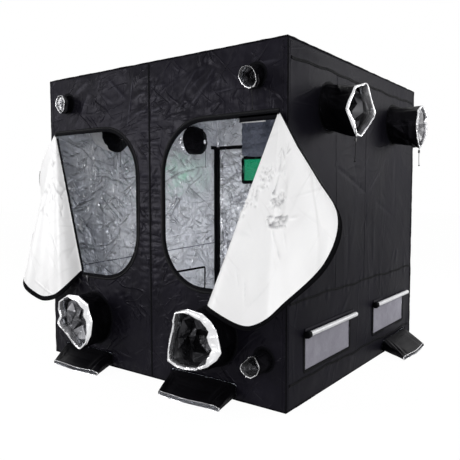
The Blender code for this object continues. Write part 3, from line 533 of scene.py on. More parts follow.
def make_materials():
    GROUPS["cloth creases"] = cloth_creases()
    GROUPS["oxford weave"] = oxford_weave()
    GROUPS["dust and wear"] = dust_and_wear()
    ink, slate = (0.0036, 0.0033, 0.0052), (0.0078, 0.0071, 0.011)
    # The side walls' cloth is the front's cloth painted lighter, for the light that falls on the side walls
    lit_side_ink, lit_side_slate = (0.006, 0.0056, 0.0086), (0.01, 0.0094, 0.0142)
    coat, steel_rub = (0.012, 0.012, 0.014), (0.12, 0.12, 0.125)
    # name, dark, pale, roughness, fold depth, fold scale, shine, turn, sharpness, painted ridge highlight
    oxfords = {
        "front": ("front cloth", ink, slate, 0.34, 0.014, 6.0, 0.06, 0, 2.0),
        "side": ("side cloth, painted lighter", lit_side_ink, lit_side_slate, 0.44, 0.005, 3.4, 0.025, 45, 1.5),
        "rear": ("rear cloth", ink, slate, 0.4, 0.014, 5.0, 0.06, 0.0, 1.0, 0.12),
        "sleeve": ("sleeve cloth", (0.0012, 0.0011, 0.0015), (0.0034, 0.0033, 0.0042), 0.4, 0.006, 12.0, 0.06),
        "curtain": ("window curtain", (0.065, 0.075, 0.1), (0.16, 0.175, 0.22), 0.35, 0.03, 14.0, 0.4, -30),
    }
    silver, bright_silver = (0.62, 0.62, 0.64), (0.88, 0.88, 0.89)
    # name, dark, pale, fold depth, roughness, metal share, fold scale, turn, sharpness
    foils = {
        "lining": ("wall lining", (0.65, 0.665, 0.71), (0.9, 0.915, 0.95), 0.05, 0.3, 0.45, 7.0, 0, 2.2),
        "sleeve lining": ("sleeve foil", silver, bright_silver, 0.008, 0.24, 0.85, 9.0, 10, 1.5),
        # The foils for the insides of the sleeves are the sleeve foil again, painted darker for the shade
        # inside each sleeve
        "shaded foil": ("foil shaded inside a sleeve", (0.05, 0.05, 0.055), (0.2, 0.2, 0.21), 0.006, 0.3, 0.7, 16.0),
        "dull foil in light shade": ("dull foil in light shade", (0.4, 0.4, 0.41), (0.8, 0.8, 0.82), 0.008, 0.3, 0.3, 14.0),
        "door lining": ("door lining", (0.78, 0.775, 0.78), (0.9, 0.9, 0.905), 0.007, 0.45, 0.05, 3.0, 60, 1.6),
        "foil in half shade": ("foil in half shade", (0.1, 0.1, 0.11), (0.4, 0.4, 0.42), 0.01, 0.3, 0.5, 14.0),
        "foil in deep shade": ("foil in deep shade", (0.012, 0.012, 0.014), (0.05, 0.05, 0.055), 0.008, 0.3, 0.7, 16.0),
        "roll": ("rolled cover", (0.8, 0.8, 0.82), (0.9, 0.9, 0.92), 0.001, 0.4, 0.1, 14.0),
    }
    # name, colour, edge colour, stitch pitch, width, roughness
    tapes = {
        "tape": ("black binding", (0.003, 0.003, 0.004), (0.012, 0.012, 0.014)),
        "band": ("black door band", (0.0015, 0.0015, 0.002), (0.004, 0.004, 0.005), 0.006, 0.036, 0.7),
        # A pale strip that stands for a painted highlight on the doorway's top edge
        "facing": ("pale strip, painted highlight", (0.5, 0.5, 0.51), (0.32, 0.32, 0.33), 0.006, 0.04, 0.5),
    }
    black, grey, pale = (0.05, 0.05, 0.055), (0.08, 0.08, 0.085), (0.3, 0.3, 0.31)
    # name, shine, metal share, wear scale, wear, dark, pale, roughness range, grain scale, grain bump
    worn = {
        "steel": ("black powder coat", 0.4, 0, 7.0, 0.6, coat, steel_rub, (0.35, 0.6), 420.0, (0.2, 0.0004)),
        "metal": ("black zip metal", 0.5, 0.8, 60.0, 1.0, black, pale, (0.3, 0.5), 0, (0.3, 0.0004)),
        "plastic": ("black moulded plastic", 0.4, 0, 40.0, 0.5, coat, grey, (0.4, 0.6), 900.0, (0.3, 0.0003)),
    }
    paint = {"zip": zip_teeth("black zip"), "net": vent_net(), "film": green_film(), "cord": braided_cord()}
    for make, recipes in ((oxford, oxfords), (foil, foils), (tape, tapes), (worn_finish, worn)):
        paint.update({kind: make(*values) for kind, values in recipes.items()})
    return paint


# Cloth relief


def billow(u, v, seed, waves, shortest, longest, height):
    """Slack swells of a panel"""
    random = np.random.default_rng(seed)
    total = np.zeros_like(u)
    for _ in range(waves):
        length, angle, phase = random.uniform((shortest, 0, 0), (longest, math.pi, 2 * math.pi))
        total += np.sin((u * math.cos(angle) + v * math.sin(angle)) * 2 * math.pi / length + phase)
    return total * height / math.sqrt(waves)


def creases(u, v, seed, count, region, angles, spread, length, width, height):
    """Straight little ridges and valleys that fade at both ends, about the given angles"""
    random = np.random.default_rng(seed)
    total = np.zeros_like(u)
    left, low, right, high = region
    for number in range(count):
        middle_u, middle_v = random.uniform(left, right), random.uniform(low, high)
        turn = math.radians(random.normal(angles[number % len(angles)], spread))
        half = random.uniform(0.35, 1.0) * length / 2
        wide = random.uniform(0.6, 1.3) * width
        tall = random.uniform(-1.0, 1.0) * height
        bend = random.uniform(-1.0, 1.0) * 0.6
        du, dv = u - middle_u, v - middle_v
        along = du * math.cos(turn) + dv * math.sin(turn)
        across = dv * math.cos(turn) - du * math.sin(turn) + bend * along**2
        total += tall * np.exp(-((along / half) ** 4)) * np.exp(-np.abs(across) / wide)
    return total


def drawn_creases(u, v, lines):
    """Creases laid from one place to another: start, end, height and width"""
    total = np.zeros_like(u)
    for u0, v0, u1, v1, height, width in lines:
        run = math.hypot(u1 - u0, v1 - v0)
        along = ((u - u0) * (u1 - u0) + (v - v0) * (v1 - v0)) / run
        across = ((v - v0) * (u1 - u0) - (u - u0) * (v1 - v0)) / run
        taper = fade(along, -0.02, 0.06) * fade(run - along, -0.02, 0.06)
        total += height * taper * np.exp(-np.abs(across) / width)
    return total


def slack_cloth(u, v, swell, patches, lines):
    """Broad swells, patches of little creases, and the creases that are laid one by one"""
    shape = billow(u, v, *swell)
    for patch in patches:
        shape += creases(u, v, *patch)
    return shape + drawn_creases(u, v, lines)


def puckers(across, along, seed, period, height, near, reach):
    """Gathers that run out sideways from a seam"""
    random = np.random.default_rng(seed)
    wave = 0.0
    for stretch in (0.8, 1.0, 1.37, 1.9):
        tall, phase = random.uniform(0.5, 1), random.uniform(0, 6)
        wave = wave + tall * np.sin(2 * math.pi * along / (period * stretch) + phase + 5 * across)
    return height * wave / 2 * np.exp(-(((np.abs(across) - near) / reach) ** 2))


def fade(distance, start, end):
    """0 up to start, 1 from end, smooth between"""
    t = np.clip((distance - start) / (end - start), 0.0, 1.0)
    return t * t * (3 - 2 * t)


def set_relief(wall, make, low=0.0, high=HEIGHT, sharp=0.0035):
    """Keep a wall's relief on a grid; it is flat along the edges, where the frame holds the cloth"""
    span = np.linspace(-HALF, HALF, RELIEF_GRID)
    rise = np.linspace(low, high, RELIEF_GRID)
    u, v = np.meshgrid(span, rise)
    held = fade(HALF - np.abs(u), 0.03, 0.1) * fade(v - low, 0.03, 0.1) * fade(high - v, 0.03, 0.1)
    shape = make(u, v) * held
    RELIEF[wall] = (span, rise, shape, ridges_of(shape, sharp))


def ridges_of(shape, sharp):
    """1 along a cloth's outward folds, 0 where it is flat or hollow"""
    soft = shape
    for _ in range(5):
        sides = np.roll(soft, 1, 0) + np.roll(soft, -1, 0) + np.roll(soft, 1, 1) + np.roll(soft, -1, 1)
        soft = (soft + sides) / 5
    return np.clip((shape - soft) / sharp, 0, 1)


def relief(wall, u, v, layer=2):
    """How far the cloth stands out at places on a wall, or with layer 3 how sharply it is folded there"""
    span, rise = RELIEF[wall][:2]
    field = RELIEF[wall][layer]
    x = np.clip((np.asarray(u) - span[0]) / (span[1] - span[0]), 0, len(span) - 1.001)
    y = np.clip((np.asarray(v) - rise[0]) / (rise[1] - rise[0]), 0, len(rise) - 1.001)
    i, j = x.astype(int), y.astype(int)
    s, t = x - i, y - j
    near = field[j, i] * (1 - s) + field[j, i + 1] * s
    far = field[j + 1, i] * (1 - s) + field[j + 1, i + 1] * s
    return near * (1 - t) + far * t


def on_wall(wall, u, v, out):
    """Points in the tent from places on a wall"""
    along, up, outwards, middle = (np.array(part, float) for part in WALLS[wall])
    u, v, out = (np.asarray(part, float)[..., None] for part in (u, v, out))
    return middle + along * u + up * v + outwards * out


FRONT_FOLDS = (
    (-0.734, 1.871, -0.579, 1.962, 0.006, 0.006),
    (-0.495, 1.874, -0.442, 1.978, 0.005, 0.006),
    (-0.4, 1.957, -0.219, 1.796, 0.007, 0.006),
    (-0.139, 1.961, -0.199, 1.608, 0.006, 0.006),
    (-0.158, 1.785, -0.023, 1.823, 0.006, 0.009),
    (-0.175, 1.68, -0.025, 1.71, 0.006, 0.009),
    (-0.138, 1.635, -0.011, 1.641, 0.005, 0.009),
    (0.005, 1.687, 0.133, 1.726, 0.006, 0.009),
    (0.014, 1.84, 0.153, 1.844, 0.006, 0.01),
    (0.271, 1.772, 0.388, 1.912, 0.005, 0.007),
    (0.298, 1.856, 0.362, 1.896, 0.005, 0.007),
    (0.361, 1.752, 0.486, 1.824, 0.006, 0.007),
    (0.474, 1.797, 0.605, 1.837, 0.005, 0.007),
    (0.335, 1.707, 0.437, 1.773, 0.005, 0.007),
    (0.449, 1.753, 0.651, 1.768, 0.005, 0.008),
    (0.827, 1.88, 0.972, 1.886, 0.005, 0.007),
    (0.871, 1.683, 0.973, 1.689, 0.005, 0.007),
    (0.313, 1.785, 0.435, 1.874, 0.004, 0.006),
    (0.397, 1.787, 0.515, 1.841, 0.004, 0.006),
)


def front_relief(u, v):
    patches = (
        (11, 90, (-1, 0.5, 1, 2), (38, -38, 15, -12), 14, 0.2, 0.01, 0.003),
        (14, 24, (-1, 0.05, 1, 0.7), (30, -30, 8), 14, 0.3, 0.014, 0.0015),
        (13, 26, (0.08, 1.66, 0.55, 1.9), (40, 32, 48), 8, 0.16, 0.009, 0.005),
        (16, 24, (-0.95, 1.65, 0.1, 1.95), (-25, 15, 40), 18, 0.2, 0.009, 0.004),
        (17, 14, (0.6, 1.63, 0.95, 1.95), (5, 12, -6), 8, 0.2, 0.009, 0.003),
        (18, 30, (-0.3, 0.5, 0.3, 0.75), (25, -20, 10), 14, 0.14, 0.009, 0.004),
    )
    shape = slack_cloth(u, v, (3, 9, 0.35, 0.9, 0.003), patches, FRONT_FOLDS)
    between = fade(v, 0.5, 0.75) * fade(1.97 - v, 0.0, 0.2)
    shape += puckers(u, v, 15, 0.05, 0.0035, 0.045, 0.04) * between
    post = fade(np.abs(u), 0.0, 0.03)
    return shape * post + np.abs(shape) * (1 - post) * 0.3


SIDE_FOLDS = (
    (-0.416, 1.35, 0.054, 1.191, -0.007, 0.006),
    (0.054, 1.191, 0.063, 0.952, -0.007, 0.006),
    (0.097, 1.208, 0.296, 1.351, -0.006, 0.006),
    (0.086, 1.462, -0.016, 1.324, -0.006, 0.006),
    (-0.366, 1.421, -0.45, 1.326, -0.005, 0.006),
    (-0.189, 1.462, -0.087, 1.24, -0.004, 0.006),
    (0.211, 1.138, 0.553, 1.021, -0.004, 0.006),
)


def side_relief(u, v):
    patches = (
        (21, 30, (-1, 0.6, 1, 1.9), (90, 84, 96), 5, 0.5, 0.022, 0.003),
        (22, 90, (-1, 0.1, 1, 1.95), (60, -60, 30, -35, 8), 12, 0.2, 0.011, 0.004),
    )
    top_seam = puckers(v - 1.9, u, 23, 0.09, 0.0013, 0.02, 0.015)
    belt_seam = puckers(v - 0.59, u, 24, 0.07, 0.0013, 0.02, 0.015)
    return slack_cloth(u, v, (5, 8, 0.4, 1.1, 0.003), patches, SIDE_FOLDS) + (top_seam + belt_seam)


LEFT_FOLDS_INSIDE = (
    (0.831, 1.052, 0.532, 1.238, 0.016, 0.007),
    (0.831, 1.045, 0.697, 1.064, 0.012, 0.007),
    (0.93, 1.429, 0.738, 1.376, 0.014, 0.008),
    (0.737, 1.422, 0.638, 1.497, 0.01, 0.007),
    (0.519, 1.359, 0.514, 0.643, -0.008, 0.006),
    (0.436, 1.312, 0.238, 1.249, 0.01, 0.007),
    (0.238, 1.249, 0.17, 1.129, 0.01, 0.007),
    (0.335, 0.913, 0.14, 0.798, -0.008, 0.007),
    (0.733, 0.783, 0.574, 0.747, -0.006, 0.007),
    (0.404, 0.733, 0.293, 0.749, -0.006, 0.007),
    (0.91, 1.511, 0.793, 1.465, 0.01, 0.008),
    (0.872, 1.588, 0.706, 1.524, 0.01, 0.009),
    (0.651, 1.355, 0.588, 1.468, 0.008, 0.007),
    (-0.168, 1.272, -0.415, 1.382, 0.012, 0.006),
    (-0.415, 1.382, -0.636, 1.424, 0.012, 0.006),
    (-0.342, 1.134, -0.456, 1.127, 0.01, 0.006),
    (-0.417, 1.51, -0.524, 1.409, 0.01, 0.006),
    (-0.559, 1.241, -0.809, 1.093, 0.006, 0.008),
    (-0.173, 1.136, -0.273, 1.124, 0.006, 0.006),
    (-0.636, 1.437, -0.852, 1.456, 0.008, 0.007),
)


def left_relief(u, v):
    patches = (
        (31, 120, (0.1, 0.3, 1, 1.9), (30, -30, 70, -60, 5), 22, 0.2, 0.009, 0.008),
        (33, 70, (-1, 0.2, 0.1, 1.9), (20, -20, 5, 70), 22, 0.2, 0.009, 0.004),
        (32, 40, (0.1, 0.6, 0.8, 1.5), (80, 100, 60), 12, 0.3, 0.012, 0.006),
    )
    return slack_cloth(u, v, (7, 10, 0.3, 0.8, 0.003), patches, LEFT_FOLDS_INSIDE)


REAR_FOLDS = (
    (0.954, 1.626, 0.689, 1.441, 0.012, 0.008),
    (0.972, 1.09, 0.569, 1.242, 0.012, 0.009),
    (0.988, 0.999, 0.659, 1.155, 0.012, 0.009),
    (0.939, 1.295, 0.75, 1.393, 0.01, 0.008),
    (0.971, 1.372, 0.704, 1.292, 0.01, 0.008),
    (0.989, 0.857, 0.751, 0.941, 0.01, 0.009),
    (0.98, 0.624, 0.845, 0.709, 0.01, 0.009),
    (0.843, 1.596, 0.72, 1.292, 0.008, 0.008),
)


def rear_relief(u, v):
    patches = (
        (41, 120, (-1, 0.1, 1, 2), (42, -42, 10, 80), 20, 0.24, 0.01, 0.006),
        (43, 260, (0.4, 0.3, 1, 1.62), (-35, -50, -20, 70), 14, 0.2, 0.008, 0.013),
    )
    return slack_cloth(u, v, (8, 9, 0.3, 0.9, 0.0028), patches, REAR_FOLDS)


def flat_relief(u, v):
    return -np.abs(billow(u, v, 9, 7, 0.4, 1.0, 0.004))


# Meshes


def grid_faces(rows, columns, closed=False):
    """Corner numbers of a grid's quads; a closed grid joins its last column to its first"""
    low = np.arange(rows - 1)[:, None] * columns
    across = np.arange(columns if closed else columns - 1)[None, :]
    after = (across + 1) % columns
    corners = (low + across, low + after, low + columns + after, low + columns + across)
    return np.stack([part.ravel() for part in corners], axis=1)


def mesh_object(name, points, faces, materials, chart=None, fold=None, girth=0.0):
    """An object from points and faces; each point has a map place in metres and how creased it is"""
    mesh = bpy.data.meshes.new(name)
    mesh.from_pydata(np.asarray(points, float).reshape(-1, 3).tolist(), [], [list(map(int, f)) for f in faces])
    mesh.shade_smooth()
    if chart is not None:
        layer = mesh.uv_layers.new(name="metres")
        picked = np.zeros(len(mesh.loops), int)
        mesh.loops.foreach_get("vertex_index", picked)
        places = np.asarray(chart, float).reshape(-1, 2)[picked]
        if girth:
            sizes = [face.loop_total for face in mesh.polygons]
            starts = np.concatenate([[0], np.cumsum(sizes)[:-1]])
            highest = np.repeat(np.maximum.reduceat(places[:, 0], starts), sizes)
            places[:, 0] += girth * (highest - places[:, 0] > girth / 2)
        layer.data.foreach_set("uv", places.ravel())
    if fold is not None:
        layer = mesh.attributes.new("fold", "FLOAT", "POINT")
        layer.data.foreach_set("value", np.asarray(fold, float).ravel())
    for material in materials:
        mesh.materials.append(material)
    obj = bpy.data.objects.new(name, mesh)
    bpy.context.scene.collection.objects.link(obj)
    return obj


def thicken(obj, thickness=CLOTH, offset=-1.0):
    """Cloth with its second material on the other side and its last one round the rim"""
    sheet = obj.modifiers.new("thickness", "SOLIDIFY")
    sheet.thickness = thickness
    sheet.offset = offset
    sheet.use_even_offset = False
    if len(obj.data.materials) > 1:
        sheet.material_offset = 1
        sheet.material_offset_rim = len(obj.data.materials) - 1
    return obj


def settle(obj, body, slot, *nodes):
    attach(obj, body)
    if nodes:
        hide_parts(*nodes)
    return obj


def inside_loop(u, v, loop):
    inside = np.zeros(u.shape, bool)
    for (x0, y0), (x1, y1) in zip(loop, loop[1:] + loop[:1]):
        if y0 != y1:
            crossing = (y0 > v) != (y1 > v)
            inside ^= crossing & (u < (x1 - x0) * (v - y0) / (y1 - y0) + x0)
    return inside


def nearest_on_loop(u, v, loop):
    """Distance to a loop and the nearest place on it"""
    best = np.full(u.shape, np.inf)
    near_u, near_v = u.copy(), v.copy()
    for (x0, y0), (x1, y1) in zip(loop, loop[1:] + loop[:1]):
        length = (x1 - x0) ** 2 + (y1 - y0) ** 2
        if length == 0:
            continue
        t = np.clip(((u - x0) * (x1 - x0) + (v - y0) * (y1 - y0)) / length, 0, 1)
        x, y = x0 + t * (x1 - x0), y0 + t * (y1 - y0)
        distance = np.hypot(u - x, v - y)
        closer = distance < best
        best[closer] = distance[closer]
        near_u[closer], near_v[closer] = x[closer], y[closer]
    return best, near_u, near_v


def cut_grid(left, low, right, high, step, cuts):
    """A grid whose corners near a cut lie on it. State is -1 beyond a cut, 0 on it, and 1 in the cloth.
    A cut is a loop and whether the cloth is inside it."""
    columns, rows = round((right - left) / step) + 1, round((high - low) / step) + 1
    u, v = np.meshgrid(np.linspace(left, right, columns), np.linspace(low, high, rows))
    state = np.ones(u.shape, int)
    for loop, keep_inside in cuts:
        distance, near_u, near_v = nearest_on_loop(u, v, loop)
        snapped = (distance < SNAP_SHARE * step) & (state > 0)
        state[(inside_loop(u, v, loop) != keep_inside) & ~snapped] = -1
        state[snapped] = 0
        u, v = np.where(snapped, near_u, u), np.where(snapped, near_v, v)
    quads = grid_faces(rows, columns)
    middles = u.ravel()[quads].mean(1), v.ravel()[quads].mean(1)
    return u, v, quads, state.ravel()[quads], middles


def lined_cloth(name, wall, u, v, out, faces, materials):
    """Cloth on a wall, made of the corners that its faces use"""
    points = on_wall(wall, u, v, out).reshape(-1, 3)
    used = np.unique(np.concatenate([np.asarray(face) for face in faces]))
    fresh = np.full(len(points), -1)
    fresh[used] = np.arange(len(used))
    kept = [fresh[np.asarray(face)] for face in faces]
    chart = np.stack([u.ravel(), v.ravel()], axis=1)[used]
    # How sharply the cloth is folded, kept on it for the shade and highlight painted along its folds
    fold = relief(wall, u, v, 3).ravel()[used]
    return thicken(mesh_object(name, points[used], kept, materials, chart, fold))


def wall_cloth(name, wall, half, low, high, holes, materials):
    """A panel on a fine grid, cut out along its holes"""
    cuts = [(loop, False) for loop in holes]
    u, v, quads, kinds, middles = cut_grid(-half, low, half, high, SPACING[wall], cuts)
    in_hole = np.zeros(len(quads), bool)
    for loop in holes:
        in_hole |= inside_loop(*middles, loop)
    faces = []
    for quad, kind, cut in zip(quads, kinds, in_hole):
        lost = (kind < 0).sum()
        if lost == 0 and not (cut and (kind > 0).sum() == 0):
            faces.append(quad)
        elif lost == 1 and kind[(list(kind).index(-1) + 2) % 4] > 0:
            faces.append([corner for corner, part in zip(quad, kind) if part >= 0])
    return lined_cloth(name, wall, u, v, relief(wall, u, v), faces, materials)


def swept(
    name,
    wall,
    path,
    profile,
    material,
    closed=False,
    inside=False,
    body="tent",
    slot="black_cloth",
    base=None,
):
    """A trim run along a path on a wall. Its profile is (across, height) pairs above the cloth."""
    path = np.asarray(path, float)
    if closed:
        path = np.vstack([path, path[:1]])
    marks = distances(path)
    count = max(2, round(marks[-1] / 0.012))
    wanted = np.linspace(0, marks[-1], count + 1)
    line = np.stack([np.interp(wanted, marks, path[:, axis]) for axis in (0, 1)], axis=1)
    if closed:
        line = line[:-1]
        forward = np.roll(line, -1, axis=0) - np.roll(line, 1, axis=0)
    else:
        forward = np.gradient(line, axis=0)
    forward /= np.linalg.norm(forward, axis=1)[:, None]
    side = np.stack([forward[:, 1], -forward[:, 0]], axis=1)
    points, chart = [], []
    for number, place in enumerate(line):
        for across, height in profile:
            spot = place + side[number] * across
            level = relief(wall, *spot) if base is None else base
            out = -CLOTH - height + level if inside else level + height
            points.append(on_wall(wall, spot[0], spot[1], out))
            chart.append((wanted[number], across))
    size = len(profile)
    rows = len(line) + 1 if closed else len(line)
    faces = grid_faces(rows, size, True) % (len(line) * size)
    faces = faces[:, ::-1] if inside else faces
    faces = [list(face) for face in faces]
    if not closed:
        first, last = list(range(size)), list(range((len(line) - 1) * size, len(line) * size))
        faces += [first[::-1], last] if not inside else [first, last[::-1]]
    obj = mesh_object(name, np.array(points), faces, [material], chart)
    outwards_facing(obj)
    return settle(obj, body, slot)


def outwards_facing(obj):
    work = bmesh.new()
    work.from_mesh(obj.data)
    bmesh.ops.recalc_face_normals(work, faces=work.faces)
    work.to_mesh(obj.data)
    work.free()
    return obj


def mirrored(half_profile):
    """A trim's profile from its left half"""
    return half_profile + tuple((-across, height) for across, height in half_profile[::-1])


def flat_profile(width, height):
    half, soft = width / 2, min(width / 5, height)
    return mirrored(((-half, 0.0), (-half, height * 0.6), (-half + soft, height)))


def arc(centre, radius, start, end, steps=12):
    angles = [math.radians(start + (end - start) * step / steps) for step in range(steps + 1)]
    return [(centre[0] + radius * math.cos(a), centre[1] + radius * math.sin(a)) for a in angles]


def rounded_box(left, low, right, high, radius):
    corners = (
        ((right - radius, low + radius), -90),
        ((right - radius, high - radius), 0),
        ((left + radius, high - radius), 90),
        ((left + radius, low + radius), 180),
    )
    return [point for centre, start in corners for point in arc(centre, radius, start, start + 90, 6)]


def circle(centre, radius, steps=48):
    return arc(centre, radius, 0, 360 - 360 / steps, steps - 1)


def door_loop(side, grow=0.0):
    """The zipped sides of a doorway, from the top hinge round to the foot of the fold"""
    free, radius = DOOR_FREE - grow, DOOR_RADIUS + grow
    top, sill = DOOR_TOP + grow, DOOR_SILL - grow
    loop = [(DOOR_HINGE, top)] + arc((free + radius, top - radius), radius, 90, 180)
    loop += arc((free + radius, sill + radius), radius, 180, 270) + [(DOOR_HINGE - FOLD_FOOT, sill)]
    return [(side * x, z) for x, z in loop]


# Walls


def flat_port(middle):
    return rounded_box(middle - FLAT_HALF, FLAT_LOW, middle + FLAT_HALF, FLAT_HIGH, 0.012)


def ports_in(wall):
    """The holes that a wall's sleeves are sewn round"""
    holes = [circle(centre, radius) for side, centre, radius, *_ in SLEEVES.values() if side == wall]
    if wall == "left":
        holes += [circle((place, DUCT_HEIGHT), DUCT_RADIUS) for _, place, *_ in INNER_SLEEVES]
    return holes + [flat_port(middle) for side, middle, _ in FLOOR_SLEEVES.values() if side == wall]


def vent_box(middle, grow=0.0):
    half = VENT_HALF + grow
    return rounded_box(middle - half, VENT_LOW - grow, middle + half, VENT_HIGH + grow, 0.012)


def cut_area(width, height, holes):
    """Flat area of a panel less its openings"""
    area = width * height
    for loop in holes:
        x, y = np.array(loop).T
        area -= abs(x @ np.roll(y, -1) - y @ np.roll(x, -1)) / 2
    return area


def make_walls(paint):
    set_relief("front", front_relief)
    set_relief("right", side_relief)
    set_relief("left", left_relief, sharp=0.0016)
    set_relief("rear", rear_relief, sharp=0.0018)
    set_relief("roof", flat_relief, -HALF, HALF)
    set_relief("floor", lambda u, v: 0 * u, -HALF, HALF)
    low, high = WALL_END, HEIGHT - WALL_END
    doorways = {
        "front": [door_loop(1), door_loop(-1)],
        "right": [vent_box(middle) for middle in VENTS.values()],
        "rear": [rounded_box(*REAR_DOOR, REAR_DOOR_RADIUS)],
    }
    side_half = HALF - WALL_END
    lined = paint["lining"], paint["tape"]
    panels = (
        ("front", "front_wall", HALF, low, high, "front", "top_front_rail"),
        ("right", "right_wall", side_half, low, high, "side", "top_right_rail"),
        ("left", "left_wall", side_half, low, high, "side", "top_left_rail"),
        ("rear", "rear_wall", HALF, low, high, "rear", "top_rear_rail"),
        ("roof", "roof_panel", HALF, -HALF, HALF, "rear", "top_front_rail"),
        ("floor", "floor_panel", HALF, -HALF, HALF, "rear", "bottom_front_rail"),
    )
    for wall, node_name, half, start, end, finish, rail in panels:
        holes = doorways.get(wall, []) + ports_in(wall)
        name = f"{wall}_wall_cloth" if node_name.endswith("wall") else f"{wall}_cloth"
        obj = wall_cloth(name, wall, half, start, end, holes, [paint[finish], *lined])
        settle(obj, "tent", "black_cloth", node_name)
        area = cut_area(2 * half, end - start, holes)


def make_seams(paint):
    """Seams, hems and bindings sewn on the walls"""
    thin, broad = flat_profile(0.014, 0.002), flat_profile(0.016, 0.0022)
    seam, hem = flat_profile(0.008, 0.0012), flat_profile(0.006, 0.0012)
    tape_paint = paint["tape"]
    swept("front_centre_seam", "front", [(0, 0.01), (0, 1.99)], thin, tape_paint)
    for side, word in ((1, "right"), (-1, "left")):
        edge = [(side * 0.972, 0.02), (side * 0.972, 1.98)]
        swept(f"front_{word}_edge_seam", "front", edge, seam, paint["front"])
        hinge = [(side * DOOR_HINGE, DOOR_SILL), (side * DOOR_HINGE, DOOR_TOP)]
        swept(f"front_{word}_hinge_seam", "front", hinge, seam, paint["front"])
    waves = [(u, 0.004 * math.sin(9 * u) + 0.003 * math.sin(23 * u + 1)) for u in np.linspace(-0.97, 0.97, 60)]
    for wall in ("right", "left", "rear"):
        finish = paint["side"] if wall != "rear" else paint["rear"]
        swept(f"{wall}_top_seam", wall, [(u, 1.9 + w) for u, w in waves], broad, tape_paint)
        swept(f"{wall}_low_hem", wall, [(u, 0.13 - 0.018 * u + w) for u, w in waves], broad, tape_paint)
        for number, u in enumerate((-0.975, 0.975)):
            swept(f"{wall}_edge_seam_{number}", wall, [(u, 0.02), (u, 1.98)], hem, finish)
    for wall in ("right", "left"):
        swept(f"{wall}_belt_seam", wall, [(u, 0.595 + w) for u, w in waves], broad, tape_paint)
        for number, u in enumerate((-0.41, 0.04)):
            swept(f"{wall}_upright_seam_{number}", wall, [(u, 0.6), (u, 1.9)], hem, paint["side"])


def piping(name, start, end, paint, body="tent"):
    """Bound edge between two panels: a soft roll with small puckers"""
    start, end = np.array(start, float), np.array(end, float)
    count = 160
    way = (end - start) / np.linalg.norm(end - start)
    first, second = square_to(way, (0.37, 0.51, 0.77))
    swell = evened(np.random.default_rng(seed_of(name)), count, 5)
    points, chart = [], []
    for number in range(count + 1):
        share = number / count
        radius = 0.0042 + 0.0016 * swell[number]
        for step in range(8):
            angle = 2 * math.pi * step / 8
            spoke = first * math.cos(angle) + second * math.sin(angle)
            points.append(start + (end - start) * share + spoke * radius)
            chart.append((share * np.linalg.norm(end - start), radius * angle))
    faces = [list(face) for face in grid_faces(count + 1, 8, True)]
    faces += [list(range(8))[::-1], list(range(count * 8, count * 8 + 8))]
    obj = outwards_facing(mesh_object(name, points, faces, [paint["tape"]], chart))
    return settle(obj, body, "black_cloth")


def make_piping(paint):
    inset = 0.0015
    side, high, low = HALF - inset, HEIGHT - inset, 0.0045
    corners = {
        "front_right": (side, -side),
        "rear_right": (side, side),
        "rear_left": (-side, side),
        "front_left": (-side, -side),
    }
    for word, (x, y) in corners.items():
        piping(f"{word}_upright_piping", (x, y, low), (x, y, high), paint)
    names = list(corners)
    for word, after in zip(names, names[1:] + names[:1]):
        for level, z in (("top", high), ("bottom", low)):
            piping(f"{level}_{word}_piping", (*corners[word], z), (*corners[after], z), paint)


# Doors


RIGHT_EDGE = (
    (0.268, 0.244, 1.0),
    (0.161, 0.512, 0.99),
    (-0.137, 0.536, 1.05),
    (-0.375, 0.482, 0.902),
    (-0.56, 0.446, 0.743),
    (-0.637, 0.446, 0.55),
    (-0.538, 0.519, 0.367),
    (-0.376, 0.432, 0.223),
)
LEFT_EDGE = (
    (0.213, 0.146, 1.139),
    (-0.069, 0.141, 1.198),
    (-0.311, 0.138, 1.091),
    (-0.434, -0.041, 0.987),
    (-0.466, -0.212, 0.858),
    (-0.525, -0.309, 0.718),
    (-0.525, -0.257, 0.536),
    (-0.422, -0.126, 0.364),
)
RIGHT_FOLDS = ((0.45, -0.022, 0.035), (0.6, 0.012, 0.05), (0.25, 0.014, 0.05))
LEFT_FOLDS = ((0.2, -0.02, 0.04), (0.38, 0.02, 0.05), (0.6, 0.018, 0.04))
# Width of the band sewn to each door's free edge, as the cloth turns away: share of the edge and width
RIGHT_BAND = (
    (0.0, 0.014),
    (0.1, 0.018),
    (0.36, 0.019),
    (0.52, 0.026),
    (0.68, 0.038),
    (0.85, 0.034),
    (1.0, 0.01),
)
LEFT_BAND = ((0.0, 0.02), (0.1, 0.032), (0.3, 0.034), (0.38, 0.006), (1.0, 0.004))
FLAP_COLUMNS = 270
FLAP_ROWS = 150
FLAP_TIP = 0.02
FLAP_LIFT = 0.0013
NARROWEST_BAND = 0.0045
BAND_LIFT = 0.0012


def flap_out(point, reach):
    """How far a flap stands out; where it goes round the tent's corner it bends back slowly at first"""
    if point[1] > 0:
        return point[1] * reach
    return point[1] * reach ** (2 + 0.9 * float(fade(-point[0], 0.0, 0.4)))


